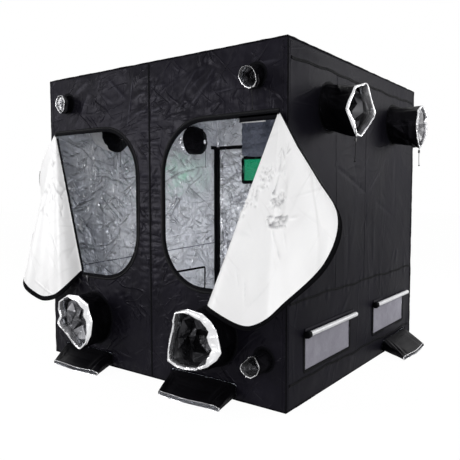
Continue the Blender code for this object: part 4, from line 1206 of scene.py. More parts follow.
def flap_points(side, edge_shares, folds, wrinkle):
    """Rows of points of an open door, from near its top hinge to its free edge"""
    foot = Vector((FOLD_FOOT, 0.0, DOOR_HEIGHT - 0.006))
    size = Vector((DOOR_WIDTH, DOOR_WIDTH, DOOR_HEIGHT))
    edge = [foot, foot - Vector((0.012, 0, 0))] + [Vector(share) * size for share in edge_shares]
    edge = resampled(through(edge, 10), FLAP_COLUMNS)
    across = np.zeros((FLAP_ROWS + 1, FLAP_COLUMNS + 1))
    out, down = across.copy(), across.copy()
    for row in range(FLAP_ROWS + 1):
        reach = FLAP_TIP + (1 - FLAP_TIP) * row / FLAP_ROWS
        for column, point in enumerate(edge):
            place = column / FLAP_COLUMNS
            fold = sum(h * math.exp(-(((place - m) / w) ** 2)) for m, h, w in folds)
            out[row, column] = flap_out(point, reach) + fold * DOOR_WIDTH * reach
            across[row, column] = point[0] * reach
            down[row, column] = point[2] * reach
    points = on_wall("front", side * (DOOR_HINGE - across), DOOR_TOP - down, out + FLAP_LIFT)
    normals = surface_normals(points) * side
    shape = wrinkle(across, down)
    # How deep the door's wrinkles are: the mask of the shade painted into its lining and the highlight painted
    # on its outer cloth
    dark = np.clip(np.abs(shape) - 0.0015, 0, 0.012) / 0.012
    return points + normals * shape[..., None], dark, np.stack([across, down], axis=2)


def surface_normals(points):
    normal = np.cross(np.gradient(points, axis=1), np.gradient(points, axis=0))
    return normal / np.maximum(np.linalg.norm(normal, axis=2), 1e-9)[..., None]


def strip_on(name, tree, line, widths, material, body, shown_side):
    """A band sewn over the edge of a hanging door: it wraps the edge and lies on both faces"""
    forward = np.gradient(line, axis=0)
    forward /= np.linalg.norm(forward, axis=1)[:, None]
    points, chart = [], []
    marks = distances(line)
    for number, place in enumerate(line):
        _, normal, _, _ = tree.find_nearest(Vector(place))
        normal = np.array(normal)
        inwards = np.cross(normal, forward[number]) * shown_side
        wide = widths[number]
        face = []
        for share in (1.0, 0.66, 0.33, 0.0):
            spot, spot_normal, _, _ = tree.find_nearest(Vector(place + inwards * wide * share))
            face.append((np.array(spot), np.array(spot_normal), share))
        for spot, spot_normal, share in face:
            points.append(spot + spot_normal * BAND_LIFT)
            chart.append((marks[number], wide * (share - 0.5)))
        points.append(place - inwards * BAND_LIFT)
        chart.append((marks[number], -wide * 0.52))
        for spot, spot_normal, share in face[::-1]:
            points.append(spot - spot_normal * (BAND_LIFT + CLOTH))
            chart.append((marks[number], wide * (share - 0.5)))
    size = 9
    faces = [list(face) for face in grid_faces(len(line), size, True)]
    last = (len(line) - 1) * size
    faces += [list(range(size))[::-1], list(range(last, last + size))]
    obj = outwards_facing(mesh_object(name, points, faces, [material], chart))
    return settle(obj, body, "black_cloth")


def right_wrinkle(across, down):
    """The crease from the top hinge, the pinched cup below it and the fine line that runs on down"""
    lines = (
        (-0.085, 0.26, -0.095, 0.37, -0.008, 0.006),
        (-0.095, 0.36, -0.082, 0.47, -0.01, 0.006),
        (-0.115, 0.605, -0.142, 0.651, -0.012, 0.005),
        (-0.142, 0.651, -0.174, 0.69, -0.011, 0.005),
        (-0.174, 0.69, -0.205, 0.745, -0.012, 0.005),
        (-0.19, 0.6, -0.23, 0.7, -0.0035, 0.003),
        (-0.2, 0.553, -0.275, 0.54, -0.007, 0.0045),
        (0.03, 0.78, -0.02, 0.9, -0.003, 0.004),
        (-0.03, 0.83, -0.07, 0.97, -0.004, 0.004),
        (-0.1, 0.86, -0.15, 0.93, -0.003, 0.004),
    )
    shape = drawn_creases(across, down, lines)
    reach = np.hypot((across + 0.137) / 0.064, (down - 0.551) / 0.05)
    below = fade(down - 0.548 - 0.15 * (across + 0.137), 0.0, 0.004)
    shape -= below * (1 - fade(reach, 0.92, 1.05)) * 0.006
    rim = np.exp(-(((reach - 0.97) / 0.06) ** 2)) * below
    top = np.exp(-(((down - 0.551) / 0.003) ** 2)) * (1 - fade(reach, 0.9, 1.1))
    shape -= 0.007 * np.maximum(rim, top)
    grain = (60, 100, 20, -30), 20, 0.025, 0.003, 0.006
    patches = (
        (55, 60, (-0.19, 0.545, -0.085, 0.595), (10, -25, 40), 18, 0.05, 0.0035, 0.01),
        (52, 70, (-0.15, 0.43, -0.08, 0.5), (40, -40, 80, 10), 18, 0.05, 0.004, 0.011),
        (53, 110, (-0.05, 0.3, 0.02, 0.42), *grain),
        (56, 110, (0.0, 0.4, 0.06, 0.5), *grain),
        (57, 110, (0.05, 0.47, 0.12, 0.58), *grain),
        (54, 30, (-0.14, 0.2, -0.05, 0.34), (80, 100, 60), 12, 0.07, 0.004, 0.007),
        (51, 14, (-0.3, 0.3, 0.25, 1.0), (70, 80, 100), 12, 0.22, 0.014, 0.001),
    )
    for patch in patches:
        shape += creases(across, down, *patch)
    return shape


def left_wrinkle(across, down):
    lines = (
        (0.0, 0.34, 0.1, 0.46, -0.008, 0.006),
        (0.0, 0.7, 0.12, 0.86, -0.006, 0.005),
        (-0.12, 0.3, -0.2, 0.7, 0.01, 0.012),
        (-0.2, 0.7, -0.32, 1.0, -0.012, 0.012),
        (-0.28, 0.85, -0.36, 1.0, 0.01, 0.01),
        (0.2, 0.5, 0.23, 0.7, 0.006, 0.01),
    )
    shape = drawn_creases(across, down, lines)
    shape += creases(across, down, 62, 60, (-0.1, 0.15, 0.12, 0.6), (70, 100, 30), 16, 0.06, 0.004, 0.006)
    return shape + creases(across, down, 61, 26, (-0.4, 0.2, 0.25, 1.15), (75, 95, 60), 12, 0.25, 0.012, 0.003)


def make_door(word, side, edge_shares, folds, wrinkle, band, paint):
    body = f"front_{word}_door"
    points, fold, chart = flap_points(side, edge_shares, folds, wrinkle)
    if side < 0:
        points, fold, chart = points[:, ::-1], fold[:, ::-1], chart[:, ::-1]
    rows, columns = points.shape[:2]
    faces = grid_faces(rows, columns)
    layers = [paint["front"], paint["door lining"], paint["tape"]]
    obj = thicken(mesh_object(f"{body}_cloth", points, faces, layers, chart, fold))
    settle(obj, body, "silver_cloth", body)
    corners = [Vector(point) for point in points.reshape(-1, 3)]
    tree = BVHTree.FromPolygons(corners, [list(map(int, face)) for face in faces])
    outline = list(points[-1]) if side > 0 else list(points[-1][::-1])
    top_edge = list(points[::-1, -1] if side > 0 else points[::-1, 0])
    free_edge = np.array(resampled([Vector(point) for point in outline + top_edge[1:]], 170))
    widths = np.interp(np.linspace(0, 1, len(free_edge)), *zip(*band))
    bound = widths > NARROWEST_BAND
    strip = strip_on(f"{body}_band", tree, free_edge[bound], widths[bound], paint["band"], body, -side)


TEETH_GAP = 0.0063
BINDING_INSET = 0.004
REAR_TEETH_GAP = 0.0075
FRONT_TEETH = mirrored(((-0.0085, 0.0), (-0.0085, 0.0016), (-0.0035, 0.002), (-0.0025, 0.0036)))
REAR_TEETH = mirrored(((-0.0085, 0.0), (-0.0085, 0.0016), (-0.0025, 0.0036)))


def make_front_zips(paint):
    for word, side in (("right", 1), ("left", -1)):
        path = door_loop(side, TEETH_GAP)
        zip_run = swept(f"front_{word}_zip_tape", "front", path, FRONT_TEETH, paint["zip"], slot="zip_tape")
        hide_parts(f"front_{word}_zip")
        rim = door_loop(side, -BINDING_INSET)
        binding, lining = flat_profile(0.011, 0.0022), flat_profile(0.03, 0.0015)
        swept(f"front_{word}_doorway_binding", "front", rim, binding, paint["tape"], base=0.0)
        swept(f"front_{word}_doorway_lining", "front", rim, lining, paint["tape"], inside=True, base=0.0)
    fold = [(-DOOR_HINGE + 0.02, DOOR_TOP - 0.035), (FOLD_FOOT - DOOR_HINGE, DOOR_SILL + 0.035)]
    swept("front_left_fold_binding", "front", fold, flat_profile(0.024, 0.0024), paint["tape"], base=0.001)
    # A thin pale strip under the right header: a painted highlight along the doorway's top edge
    edge, edge_profile = [(0.7, 1.577), (0.86, 1.574)], flat_profile(0.007, 0.007)
    swept("front_right_header_highlight", "front", edge, edge_profile, paint["facing"], inside=True, base=0.0)
    header, header_profile = [(0.69, DOOR_TOP - 0.022), (0.94, DOOR_TOP - 0.022)], flat_profile(0.042, 0.006)
    swept("front_right_header_fold", "front", header, header_profile, paint["tape"], inside=True, base=0.0)


# Rear door, curtain and what shows on the lining


def make_rear(paint):
    left, low, right, high = REAR_DOOR
    outline = rounded_box(*REAR_DOOR, REAR_DOOR_RADIUS)
    window = rounded_box(*REAR_WINDOW, WINDOW_CORNER)
    cuts = ((outline, True), (window, False))
    u, v, quads, kinds, middles = cut_grid(left, low, right, high, REAR_DOOR_STEP, cuts)
    good = inside_loop(*middles, outline) & ~inside_loop(*middles, window)
    faces = []
    for quad, kind, fine in zip(quads, kinds, good):
        if (kind < 0).sum() == 0 and fine:
            faces.append(quad)
        elif (kind < 0).sum() == 1:
            faces.append([corner for corner, part in zip(quad, kind) if part >= 0])
    soft = fade(nearest_on_loop(u, v, outline)[0], 0.0, 0.05)
    layers = [paint["rear"], paint["lining"], paint["tape"]]
    obj = lined_cloth("rear_door_cloth", "rear", u, v, relief("rear", u, v) * soft, faces, layers)
    settle(obj, "rear_door", "black_cloth", "rear_door")
    area = cut_area(right - left, high - low, [window])
    frame_profile = flat_profile(0.034, 0.0022)
    for where, inside in (("outer", False), ("inner", True)):
        name = f"rear_window_{where}_frame"
        swept(name, "rear", window, frame_profile, paint["tape"], closed=True, inside=inside, body="rear_door")
    radius = REAR_DOOR_RADIUS + REAR_TEETH_GAP
    left, low, high = left - REAR_TEETH_GAP, low - REAR_TEETH_GAP, high + REAR_TEETH_GAP
    path = [(right, high)] + arc((left + radius, high - radius), radius, 90, 180)
    path += arc((left + radius, low + radius), radius, 180, 270) + [(right, low)]
    obj = swept("rear_zip_tape", "rear", path, REAR_TEETH, paint["zip"], slot="zip_tape")
    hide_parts("rear_zip")
    wide, band = flat_profile(0.036, 0.002), INNER_BAND_HEIGHT
    inner_bands = (
        ("rear_top_inner_band", "rear", [(0.99, band), (0.683, band)], wide),
        ("left_top_inner_band", "left", [(-0.985, band), (-0.88, band)], wide),
        ("corner_inner_band", "left", [(-0.958, 0.05), (-0.958, 1.63)], flat_profile(0.05, 0.003)),
        ("rear_side_inner_band", "rear", [(0.978, 0.05), (0.978, 1.63)], flat_profile(0.016, 0.002)),
    )
    for name, wall, line, profile in inner_bands:
        swept(name, wall, line, profile, paint["tape"], inside=True)


def make_post_cover(paint):
    """Pocket round the rear left post: dark cloth below the band, lining above it"""
    low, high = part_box("rear_left_post")
    x, y = (low[0] + high[0]) / 2, (low[1] + high[1]) / 2
    for word, start, end, kind in (("lower", 0.05, 1.64, "tape"), ("upper", 1.655, 1.94, "lining")):
        count, sides = round((end - start) / 0.01), 16
        angles, heights = np.meshgrid(full_turn(sides), np.linspace(start, end, count + 1))
        slack = evened(np.random.default_rng(91), count, 3)
        radius = POST_COVER_RADIUS + 0.0012 * slack[:, None] + 0.0006 * np.sin(3 * angles + 60 * heights)
        points = np.stack([x + radius * np.cos(angles), y + radius * np.sin(angles), heights], axis=2)
        chart = np.stack([angles * 0.014, heights], axis=2)
        faces = grid_faces(count + 1, sides, True)
        obj = mesh_object(f"rear_left_post_cover_{word}", points, faces, [paint[kind]], chart)
        settle(thicken(obj, 0.001), "tent", "black_cloth")


def make_curtain(paint):
    """Dark cover that rolls down over the window, tied up above it on the lining"""
    left, right, low, high = 0.3, 0.683, 1.56, 1.95
    u, v = np.meshgrid(np.linspace(left, right, 60), np.linspace(low, high, 50))
    sag = 0.02 * np.sin((u - left) / (right - left) * math.pi)
    v = v - sag * (high - v) / (high - low)
    ripple = 0.006 * np.sin(v * 2 * math.pi / 0.09 + 3 * u)
    ripple = ripple + creases(u, v, 71, 30, (left, low, right, high), (5, -8, 30), 10, 0.2, 0.01, 0.005)
    points, faces = on_wall("rear", u, v, -0.018 - ripple), grid_faces(*u.shape)[:, ::-1]
    obj = mesh_object("window_curtain", points, faces, [paint["curtain"]], np.stack([u, v], axis=2))
    settle(thicken(obj, 0.0015), "tent", "black_cloth")


def make_lining_trims(paint):
    """Seams and closed window covers on the inside of the walls"""
    seam, thin_seam = flat_profile(0.008, 0.0016), flat_profile(0.007, 0.0014)
    border = flat_profile(0.02, 0.002)
    swept("left_inner_upright_seam", "left", [(0.36, 0.05), (0.36, 1.95)], seam, paint["lining"], inside=True)
    belt = [(-0.97, 0.68), (0.97, 0.62)]
    swept("left_inner_belt_seam", "left", belt, thin_seam, paint["curtain"], inside=True)
    for number, (left, right) in enumerate(((-0.78, -0.32), (0.32, 0.78))):
        loop = rounded_box(left, 0.23, right, 0.444, WINDOW_CORNER)
        for word, inside in (("inner", True), ("outer", False)):
            name = f"left_{word}_vent_border_{number}"
            swept(name, "left", loop, border, paint["tape"], closed=True, inside=inside)


# Low windows in the right wall


def make_vents(paint):
    for word, middle in VENTS.items():
        rise = np.linspace(VENT_LOW + 0.0005, VENT_HIGH - 0.0005, 21)
        u, v = np.meshgrid(np.linspace(-0.3, 0.3, 49) + middle, rise)
        sag = 0.004 * np.sin((u - middle) * 12) * np.sin((v - VENT_LOW) / 0.2 * math.pi)
        points = on_wall("right", u, v, sag - 0.001)
        chart = np.stack([u, v], axis=2)
        obj = mesh_object(f"{word}_vent_net", points, grid_faces(*u.shape), [paint["net"]], chart)
        settle(thicken(obj, 0.001), "tent", "vent_mesh", f"{word}_mesh")
        border, profile = vent_box(middle, 0.004), flat_profile(0.022, 0.0022)
        swept(f"{word}_vent_border", "right", border, profile, paint["tape"], closed=True, base=0.0)
        make_roll(word, middle, paint)


def make_roll(word, middle, paint):
    """A cover rolled up on itself above its window, with its dark end showing the turns"""
    centre = (0.0168, VENT_HIGH + 0.012)
    start, end = middle + ROLL_SHIFT - ROLL_HALF, middle + ROLL_SHIFT + ROLL_HALF
    turns, wall = 3.2, 0.0026
    profile = [(0.0006, centre[1] + 0.032), (0.0006, centre[1] + 0.012)]
    steps = 90
    for step in range(steps + 1):
        angle = math.pi + 2 * math.pi * turns * step / steps
        radius = 0.0162 - wall * turns * step / steps * 1.35
        profile.append((centre[0] + radius * math.cos(angle), centre[1] + radius * math.sin(angle)))
    profile = np.array(profile)
    count = 60
    wobble = evened(np.random.default_rng(5), count, 5, 0.0006)
    points, chart, marks = [], [], distances(profile)
    for number in range(count + 1):
        along = start + (end - start) * number / count
        for (out, rise), mark in zip(profile, marks):
            out, rise = out + wobble[number] * 0.3 + 0.0006, rise + wobble[number] * 0.5
            points.append(on_wall("right", along, rise, out))
            chart.append((along, mark))
    faces = grid_faces(count + 1, len(profile))
    layers = [paint["roll"], paint["roll"], paint["side"]]
    obj = mesh_object(f"{word}_cover_roll", points, faces, layers, chart)
    for face in obj.data.polygons:
        if face.index % (len(profile) - 1) < 2:
            face.material_index = 2
    thicken(obj, 0.0012, 0.0)
    obj.modifiers["thickness"].material_offset = 0
    settle(obj, f"{word}_vent_roll", "silver_cloth", f"{word}_vent_roll")
    cap = end_cap(f"{word}_roll_end", word, start, centre, paint)


def end_cap(name, word, start, centre, paint):
    """Black edge binding of the rolled cover, wound up at its near end"""
    points, sides = [], 40
    rings = (
        (0.0185, 0.03),
        (0.0205, 0.018),
        (0.0215, 0.004),
        (0.0195, -0.008),
        (0.012, -0.012),
        (0.004, -0.0112),
    )
    for radius, back in rings:
        for step in range(sides):
            angle = 2 * math.pi * step / sides
            swirl = radius + 0.0006 * math.sin(5 * angle + radius * 900)
            out, rise = centre[0] + 0.0012 + swirl * math.cos(angle), centre[1] + swirl * math.sin(angle)
            points.append(on_wall("right", start + back, rise, out))
    faces = [list(face) for face in grid_faces(len(rings), sides, True)]
    last = (len(rings) - 1) * sides
    faces += [list(range(last, last + sides)), list(range(sides))[::-1]]
    obj = outwards_facing(mesh_object(name, np.array(points), faces, [paint["tape"]]))
    return settle(obj, f"{word}_vent_roll", "silver_cloth")


# Sleeves


MOUTHS = {
    "front_upper_left_sleeve": (
        (-0.813, 1.829), (-0.782, 1.862), (-0.74, 1.861), (-0.715, 1.82), (-0.725, 1.761),
        (-0.76, 1.739), (-0.792, 1.766), (-0.814, 1.798),
    ),
    "front_upper_right_sleeve": (
        (0.804, 1.855), (0.831, 1.848), (0.848, 1.831), (0.861, 1.805), (0.868, 1.768),
        (0.853, 1.741), (0.822, 1.732), (0.795, 1.744), (0.768, 1.769), (0.753, 1.804),
        (0.762, 1.836), (0.777, 1.852),
    ),
    "front_lower_right_sleeve": (
        (0.851, 0.312), (0.865, 0.306), (0.887, 0.265), (0.89, 0.25), (0.874, 0.212),
        (0.833, 0.186), (0.805, 0.191), (0.773, 0.212), (0.763, 0.233), (0.773, 0.255),
        (0.805, 0.284), (0.828, 0.306),
    ),
    "front_lower_left_sleeve": (
        (-0.603, 0.502), (-0.491, 0.508), (-0.392, 0.463), (-0.38, 0.413), (-0.351, 0.352),
        (-0.37, 0.257), (-0.415, 0.189), (-0.481, 0.144), (-0.532, 0.164), (-0.657, 0.251),
        (-0.706, 0.278), (-0.714, 0.302), (-0.688, 0.344), (-0.706, 0.391), (-0.699, 0.45),
    ),
    "front_lower_centre_sleeve": (
        (0.372, 0.512), (0.468, 0.537), (0.574, 0.525), (0.633, 0.49), (0.672, 0.442),
        (0.692, 0.376), (0.705, 0.324), (0.671, 0.276), (0.612, 0.23), (0.527, 0.193),
        (0.438, 0.184), (0.374, 0.188), (0.309, 0.213), (0.309, 0.271), (0.321, 0.34),
        (0.35, 0.426),
    ),
    "right_front_sleeve": (
        (-0.484, 1.815), (-0.459, 1.805), (-0.34, 1.664), (-0.371, 1.624), (-0.542, 1.504),
        (-0.601, 1.503), (-0.707, 1.603), (-0.744, 1.636), (-0.71, 1.685), (-0.63, 1.775),
    ),
    "right_rear_sleeve": (
        (0.531, 1.815), (0.454, 1.771), (0.43, 1.67), (0.452, 1.574), (0.505, 1.508),
        (0.568, 1.533), (0.663, 1.611), (0.69, 1.687), (0.644, 1.723), (0.69, 1.754),
        (0.614, 1.8),
    ),
}
# name: wall, port's place, port's radius, length, rim's width, where the rim is widest, fold depth
SLEEVES = {
    "front_upper_left_sleeve": ("front", (-0.8, 1.82), CABLE_RADIUS, 0.098, 0.008, 200, 0.006),
    "front_upper_right_sleeve": ("front", (0.8, 1.82), CABLE_RADIUS, 0.098, 0.008, 250, 0.006),
    "front_lower_right_sleeve": ("front", (0.855, 0.272), CABLE_RADIUS, 0.098, 0.007, 250, 0.006),
    "front_lower_left_sleeve": ("front", (-0.55, 0.32), INTAKE_RADIUS, 0.198, 0.058, 25, 0.012),
    "front_lower_centre_sleeve": ("front", (0.5, 0.35), INTAKE_RADIUS, 0.198, 0.07, 30, 0.012),
    "right_front_sleeve": ("right", (-0.51, DUCT_HEIGHT), DUCT_RADIUS, 0.218, 0.03, 200, 0.01),
    "right_rear_sleeve": ("right", (0.54, DUCT_HEIGHT), DUCT_RADIUS, 0.218, 0.036, 0, 0.012),
}
SLEEVE_COLUMNS = 144
SLEEVE_SHELL = 0.0012
RIM_NARROW_SHARE = 0.28
LIP = (
    (0.0, -0.012),
    (0.1, -0.004),
    (0.3, 0.0),
    (0.7, -0.0005),
    (0.92, -0.003),
    (1.0, -0.008),
    (1.0, -0.03),
    (0.8, -0.055),
)


def ring_of(loop, angles, centre):
    """Where spokes from a centre cross a loop"""
    found = []
    for angle in angles:
        way = np.array((math.cos(angle), math.sin(angle)))
        best = 0.0
        for start, end in zip(loop, loop[1:] + loop[:1]):
            edge = np.subtract(end, start)
            turn = way[0] * edge[1] - way[1] * edge[0]
            if abs(turn) < 1e-12:
                continue
            offset = np.subtract(start, centre)
            reach = (offset[0] * edge[1] - offset[1] * edge[0]) / turn
            share = (offset[0] * way[1] - offset[1] * way[0]) / turn
            if -1e-9 <= share <= 1 + 1e-9 and reach > best:
                best = reach
        found.append(best)
    return np.array(found)


def facets(angles, seed, count, amount):
    """Flat-sided unevenness round a ring"""
    random = np.random.default_rng(seed)
    corners = np.sort(random.uniform(0, 2 * math.pi, count))
    heights = random.uniform(-1, 1, count) * amount
    return np.interp(angles, corners, heights, period=2 * math.pi)


def paint_rows(obj, columns, first_row, material):
    """Give every face from a row of the sheet onwards another material, its back following it"""
    for face in obj.data.polygons:
        if face.index // columns >= first_row:
            face.material_index = material


def port_flange(name, wall, centre, radius, material, inside=False):
    """The ring of binding that joins a sleeve to its wall"""
    ring = circle(centre, radius + 0.006, 64)
    profile = flat_profile(0.016, 0.002)
    return swept(f"{name}_flange", wall, ring, profile, material, closed=True, inside=inside)


def make_sleeve(name, paint):
    wall, centre, radius, length, rim, widest, fold = SLEEVES[name]
    mouth = [tuple(point) for point in MOUTHS[name]]
    middle = np.mean(mouth, axis=0)
    angles = full_turn(SLEEVE_COLUMNS)
    reach = ring_of(mouth, angles, middle)
    spokes = np.stack([np.cos(angles), np.sin(angles)], axis=1)
    root_ring = np.array(centre) + spokes * (radius - 0.0013)
    mouth_ring = middle + spokes * reach[:, None]
    body_rows = max(18, round(length / 0.006))
    shares = np.linspace(0, 1, body_rows)
    seed = seed_of(name)
    around, run = np.meshgrid(angles, shares)
    girth = 2 * math.pi * radius
    slack = (seed, 46, (0, 0, girth, length), (82, 98, 60, 120, 20), 16, length * 1.1, 0.012, fold)
    folds = sum(creases(around * radius + shift, run * length, *slack) for shift in (-girth, 0, girth))
    folds *= np.sin(run * math.pi) ** 0.6 * 0.9 + 0.05 * run
    rows, rings, outs = [], [], []
    for number, share in enumerate(shares):
        change = fade(share, 0.0, 1.0) * 0.45 + 0.55 * share**2
        ring = root_ring * (1 - change) + mouth_ring * change
        sag = -0.04 * length * math.sin(share * math.pi)
        ring = ring + spokes * folds[number][:, None]
        out = -0.001 + (length - 0.014 + 0.001) * share
        rings.append(ring + np.array((0.0, sag)))
        outs.append(out)
        rows.append(on_wall(wall, ring[:, 0], ring[:, 1] + sag, out))
    facing = np.maximum(0.0, np.cos(angles - math.radians(widest))) ** 1.3
    width = rim * (RIM_NARROW_SHARE + (1 - RIM_NARROW_SHARE) * facing) * (1 + facets(angles, seed + 3, 11, 0.3))
    for number, (inwards, back) in enumerate(LIP):
        jag = rim * 0.09 * (0.3 if number == 0 else 1.0)
        uneven = facets(angles, seed + number // 2, 13, jag)
        ring = mouth_ring - spokes * (width * inwards - uneven)[:, None]
        swell = back * min(1.0, length / 0.15) + facets(angles, seed + 20 + number // 2, 12, jag * 1.4)
        rows.append(on_wall(wall, ring[:, 0], ring[:, 1], length + swell - jag))
    points = np.array(rows)
    chart = np.stack(np.meshgrid(angles * radius, np.arange(len(rows)) * 0.006), axis=2)
    # The sleeve's inside is its foil painted in shade
    layers = [paint["sleeve"], paint["shaded foil"], paint["sleeve lining"], paint["shaded foil"]]
    faces = grid_faces(len(rows), SLEEVE_COLUMNS, True)
    obj = mesh_object(f"{name}_cloth", points, faces, layers, chart, girth=girth)
    paint_rows(obj, SLEEVE_COLUMNS, body_rows, 2)
    thicken(obj, SLEEVE_SHELL)
    obj.modifiers["thickness"].material_offset_rim = 1
    settle(obj, "tent", "black_cloth", name)
    flange = port_flange(name, wall, centre, radius, paint["tape"])
    share = 0.9 if SOCKS[name][1] < 0.04 else 0.5
    inner_ring = mouth_ring - spokes * (width * share)[:, None]
    sock = make_sock(name, wall, inner_ring, np.array(rings), outs, radius, length, paint)


# name: material (the sleeve foil painted in the shade inside that sleeve), how deep in the sleeve it starts,
# how far it reaches past the wall, how crumpled it is
SOCKS = {
    "front_upper_left_sleeve": ("sleeve lining", 0.012, 0.3, 0.02),
    "front_upper_right_sleeve": ("foil in deep shade", 0.042, 0.6, 0.015),
    "front_lower_right_sleeve": ("foil in deep shade", 0.042, 0.6, 0.015),
    "front_lower_left_sleeve": ("foil in half shade", 0.06, 0.2, 0.1),
    "front_lower_centre_sleeve": ("foil in deep shade", 0.06, 0.9, 0.06),
    "right_front_sleeve": ("shaded foil", 0.06, 0.6, 0.06),
    "right_rear_sleeve": ("dull foil in light shade", 0.02, 0.5, 0.06),
}


def make_sock(name, wall, inner_ring, rings, outs, radius, length, paint):
    """The limp inside half of a sleeve: it runs back through the wall and droops, in flat crumpled facets"""
    kind, start, reach_share, crumple = SOCKS[name]
    sides, turns = 16, 9
    picked = np.linspace(0, SLEEVE_COLUMNS, sides, endpoint=False).astype(int)
    hearts = rings.mean(axis=1)
    spans = np.linalg.norm(rings - hearts[:, None], axis=2)
    spans = np.min([np.roll(spans, shift, axis=1) for shift in range(-9, 10, 3)], axis=0)
    random = np.random.default_rng(seed_of(name) + 7)
    mouth = np.linalg.norm(inner_ring - hearts[-1], axis=1)
    points = []
    for number in range(turns):
        share = number / (turns - 1)
        out = (length - start) * (1 - share) - radius * reach_share * share
        row = min(int(np.searchsorted(outs, out)), len(outs) - 1)
        reach = np.minimum(spans[row], mouth * (1 + share))[picked] - 0.006 - 0.004 * min(1.0, 4 * share)
        narrow = 1 - fade(share, 0.3, 1.0) * 0.85
        pull = random.uniform(0, 1, sides) * crumple * (0.15 if number == 0 else 1.0)
        reach = np.maximum(reach * narrow - pull, 0.1 * reach)
        ways = rings[row][picked] - hearts[row]
        ways /= np.linalg.norm(ways, axis=1)[:, None]
        loop = hearts[row] + ways * reach[:, None]
        loop[:, 1] -= radius * 0.4 * share**2 * (out < 0)
        pushed = random.uniform(-1, 1, sides) * crumple * (0.05 if number == 0 else 0.35)
        points.append(on_wall(wall, loop[:, 0], loop[:, 1], out + pushed))
    points = np.array(points)
    faces = []
    for a, b, c, d in grid_faces(turns, sides, True):
        faces += [[a, b, c], [a, c, d]] if random.uniform() < 0.5 else [[a, b, d], [b, c, d]]
    end = (turns - 1) * sides
    faces.append(list(range(end, end + sides)))
    chart = np.stack(np.meshgrid(np.arange(sides) * 0.05, np.arange(turns) * 0.05), axis=2)
    obj = mesh_object(f"{name}_inner_sock", points, faces, [paint[kind]], chart, girth=sides * 0.05)
    for face in obj.data.polygons:
        face.use_smooth = False
    thicken(obj, 0.0008)
    return settle(obj, "tent", "silver_cloth")


# name: wall, place along it, how far the mouth sways
FLOOR_SLEEVES = {
    "front_left_floor_sleeve": ("front", -0.62, 0.09),
    "front_centre_floor_sleeve": ("front", 0.42, 0.05),
    "right_floor_sleeve": ("right", 0.65, -0.12),
}
# Half width and half height of a floor sleeve at the wall and at its mouth, its reach and its cut
FLAT_ROOT = (0.2487, 0.0407)
FLAT_MOUTH = (0.225, 0.012)
FLAT_ROUND = 0.25
FLAT_REACH = 0.206


def make_flat_sleeve(name, wall, middle, sway, paint):
    """A wide low sleeve that slopes to the ground, with ridged folds down one side"""
    columns, rows = 140, 34
    angles = full_turn(columns)
    seed = seed_of(name)
    random = np.random.default_rng(seed)

    def ring(half_wide, half_high, round_share):
        x = np.sign(np.cos(angles)) * np.abs(np.cos(angles)) ** round_share * half_wide
        y = np.sign(np.sin(angles)) * np.abs(np.sin(angles)) ** round_share * half_high
        return np.stack([x, y], axis=1)

    root, mouth = ring(*FLAT_ROOT, FLAT_ROUND), ring(*FLAT_MOUTH, FLAT_ROUND)
    root_up, mouth_up = 0.054, 0.0136
    points = []
    phases = random.uniform(0, 6, 6)
    for number in range(rows):
        share = number / (rows - 1)
        flat = root * (1 - share) + mouth * share
        place_u = middle + sway * share + flat[:, 0]
        up = root_up * (1 - share) + mouth_up * share + flat[:, 1]
        top = flat[:, 1] > 0
        waves = zip((28, 41, 63, 95, 130, 170), phases)
        wave = sum(np.sin(flat[:, 0] * pitch + phase + share * 2.0) / pitch for pitch, phase in waves) * 0.09
        ridge_zone = fade(np.sign(sway) * flat[:, 0], 0.08, 0.2)
        ridges = np.abs(np.sin(flat[:, 0] * 60 + share * 3)) * 0.012 * ridge_zone
        calm = 1 - 0.75 * fade(share, 0.75, 1.0)
        lift = (wave + ridges) * (0.4 + 0.6 * share) * calm * math.sin(min(1, share * 1.6) * math.pi / 2)
        up = np.where(top, up + lift, up + 0.2 * np.abs(lift))
        out = -0.001 + FLAT_REACH * share + 0.008 * share * np.sin(flat[:, 0] * 14 + phases[0])
        points.append(on_wall(wall, place_u, np.maximum(up, 0.0022), out))
    last = points[-1]
    _, upward, outward, _ = (np.array(part, float) for part in WALLS[wall])
    for number in range(1, 4):
        share = number / 3
        swell = 0.0014 * math.sin(share * math.pi / 2)
        grown = last + upward * swell * np.sign(np.sin(angles))[:, None] * 0.7
        grown = grown - outward * (0.009 * share - 0.001)
        grown[:, 2] = np.maximum(grown[:, 2], 0.001)
        points.append(grown)
    points = np.array(points)
    chart = np.stack(np.meshgrid(angles * 0.16, np.arange(len(points)) * 0.006), axis=2)
    layers = [paint["sleeve"], paint["sleeve lining"], paint["tape"]]
    obj = mesh_object(f"{name}_cloth", points, grid_faces(len(points), columns, True), layers, chart)
    settle(thicken(obj, 0.001), "tent", "black_cloth", name)


# word, place along the wall, lean along it, drop, share that shows foil, how far the waist draws in, length
INNER_SLEEVES = (
    ("front", 0.51, -0.15, 0.06, 0.66, 0.018, 0.18),
    ("rear", -0.54, -0.24, 0.02, 0.15, 0.055, 0.17),
)


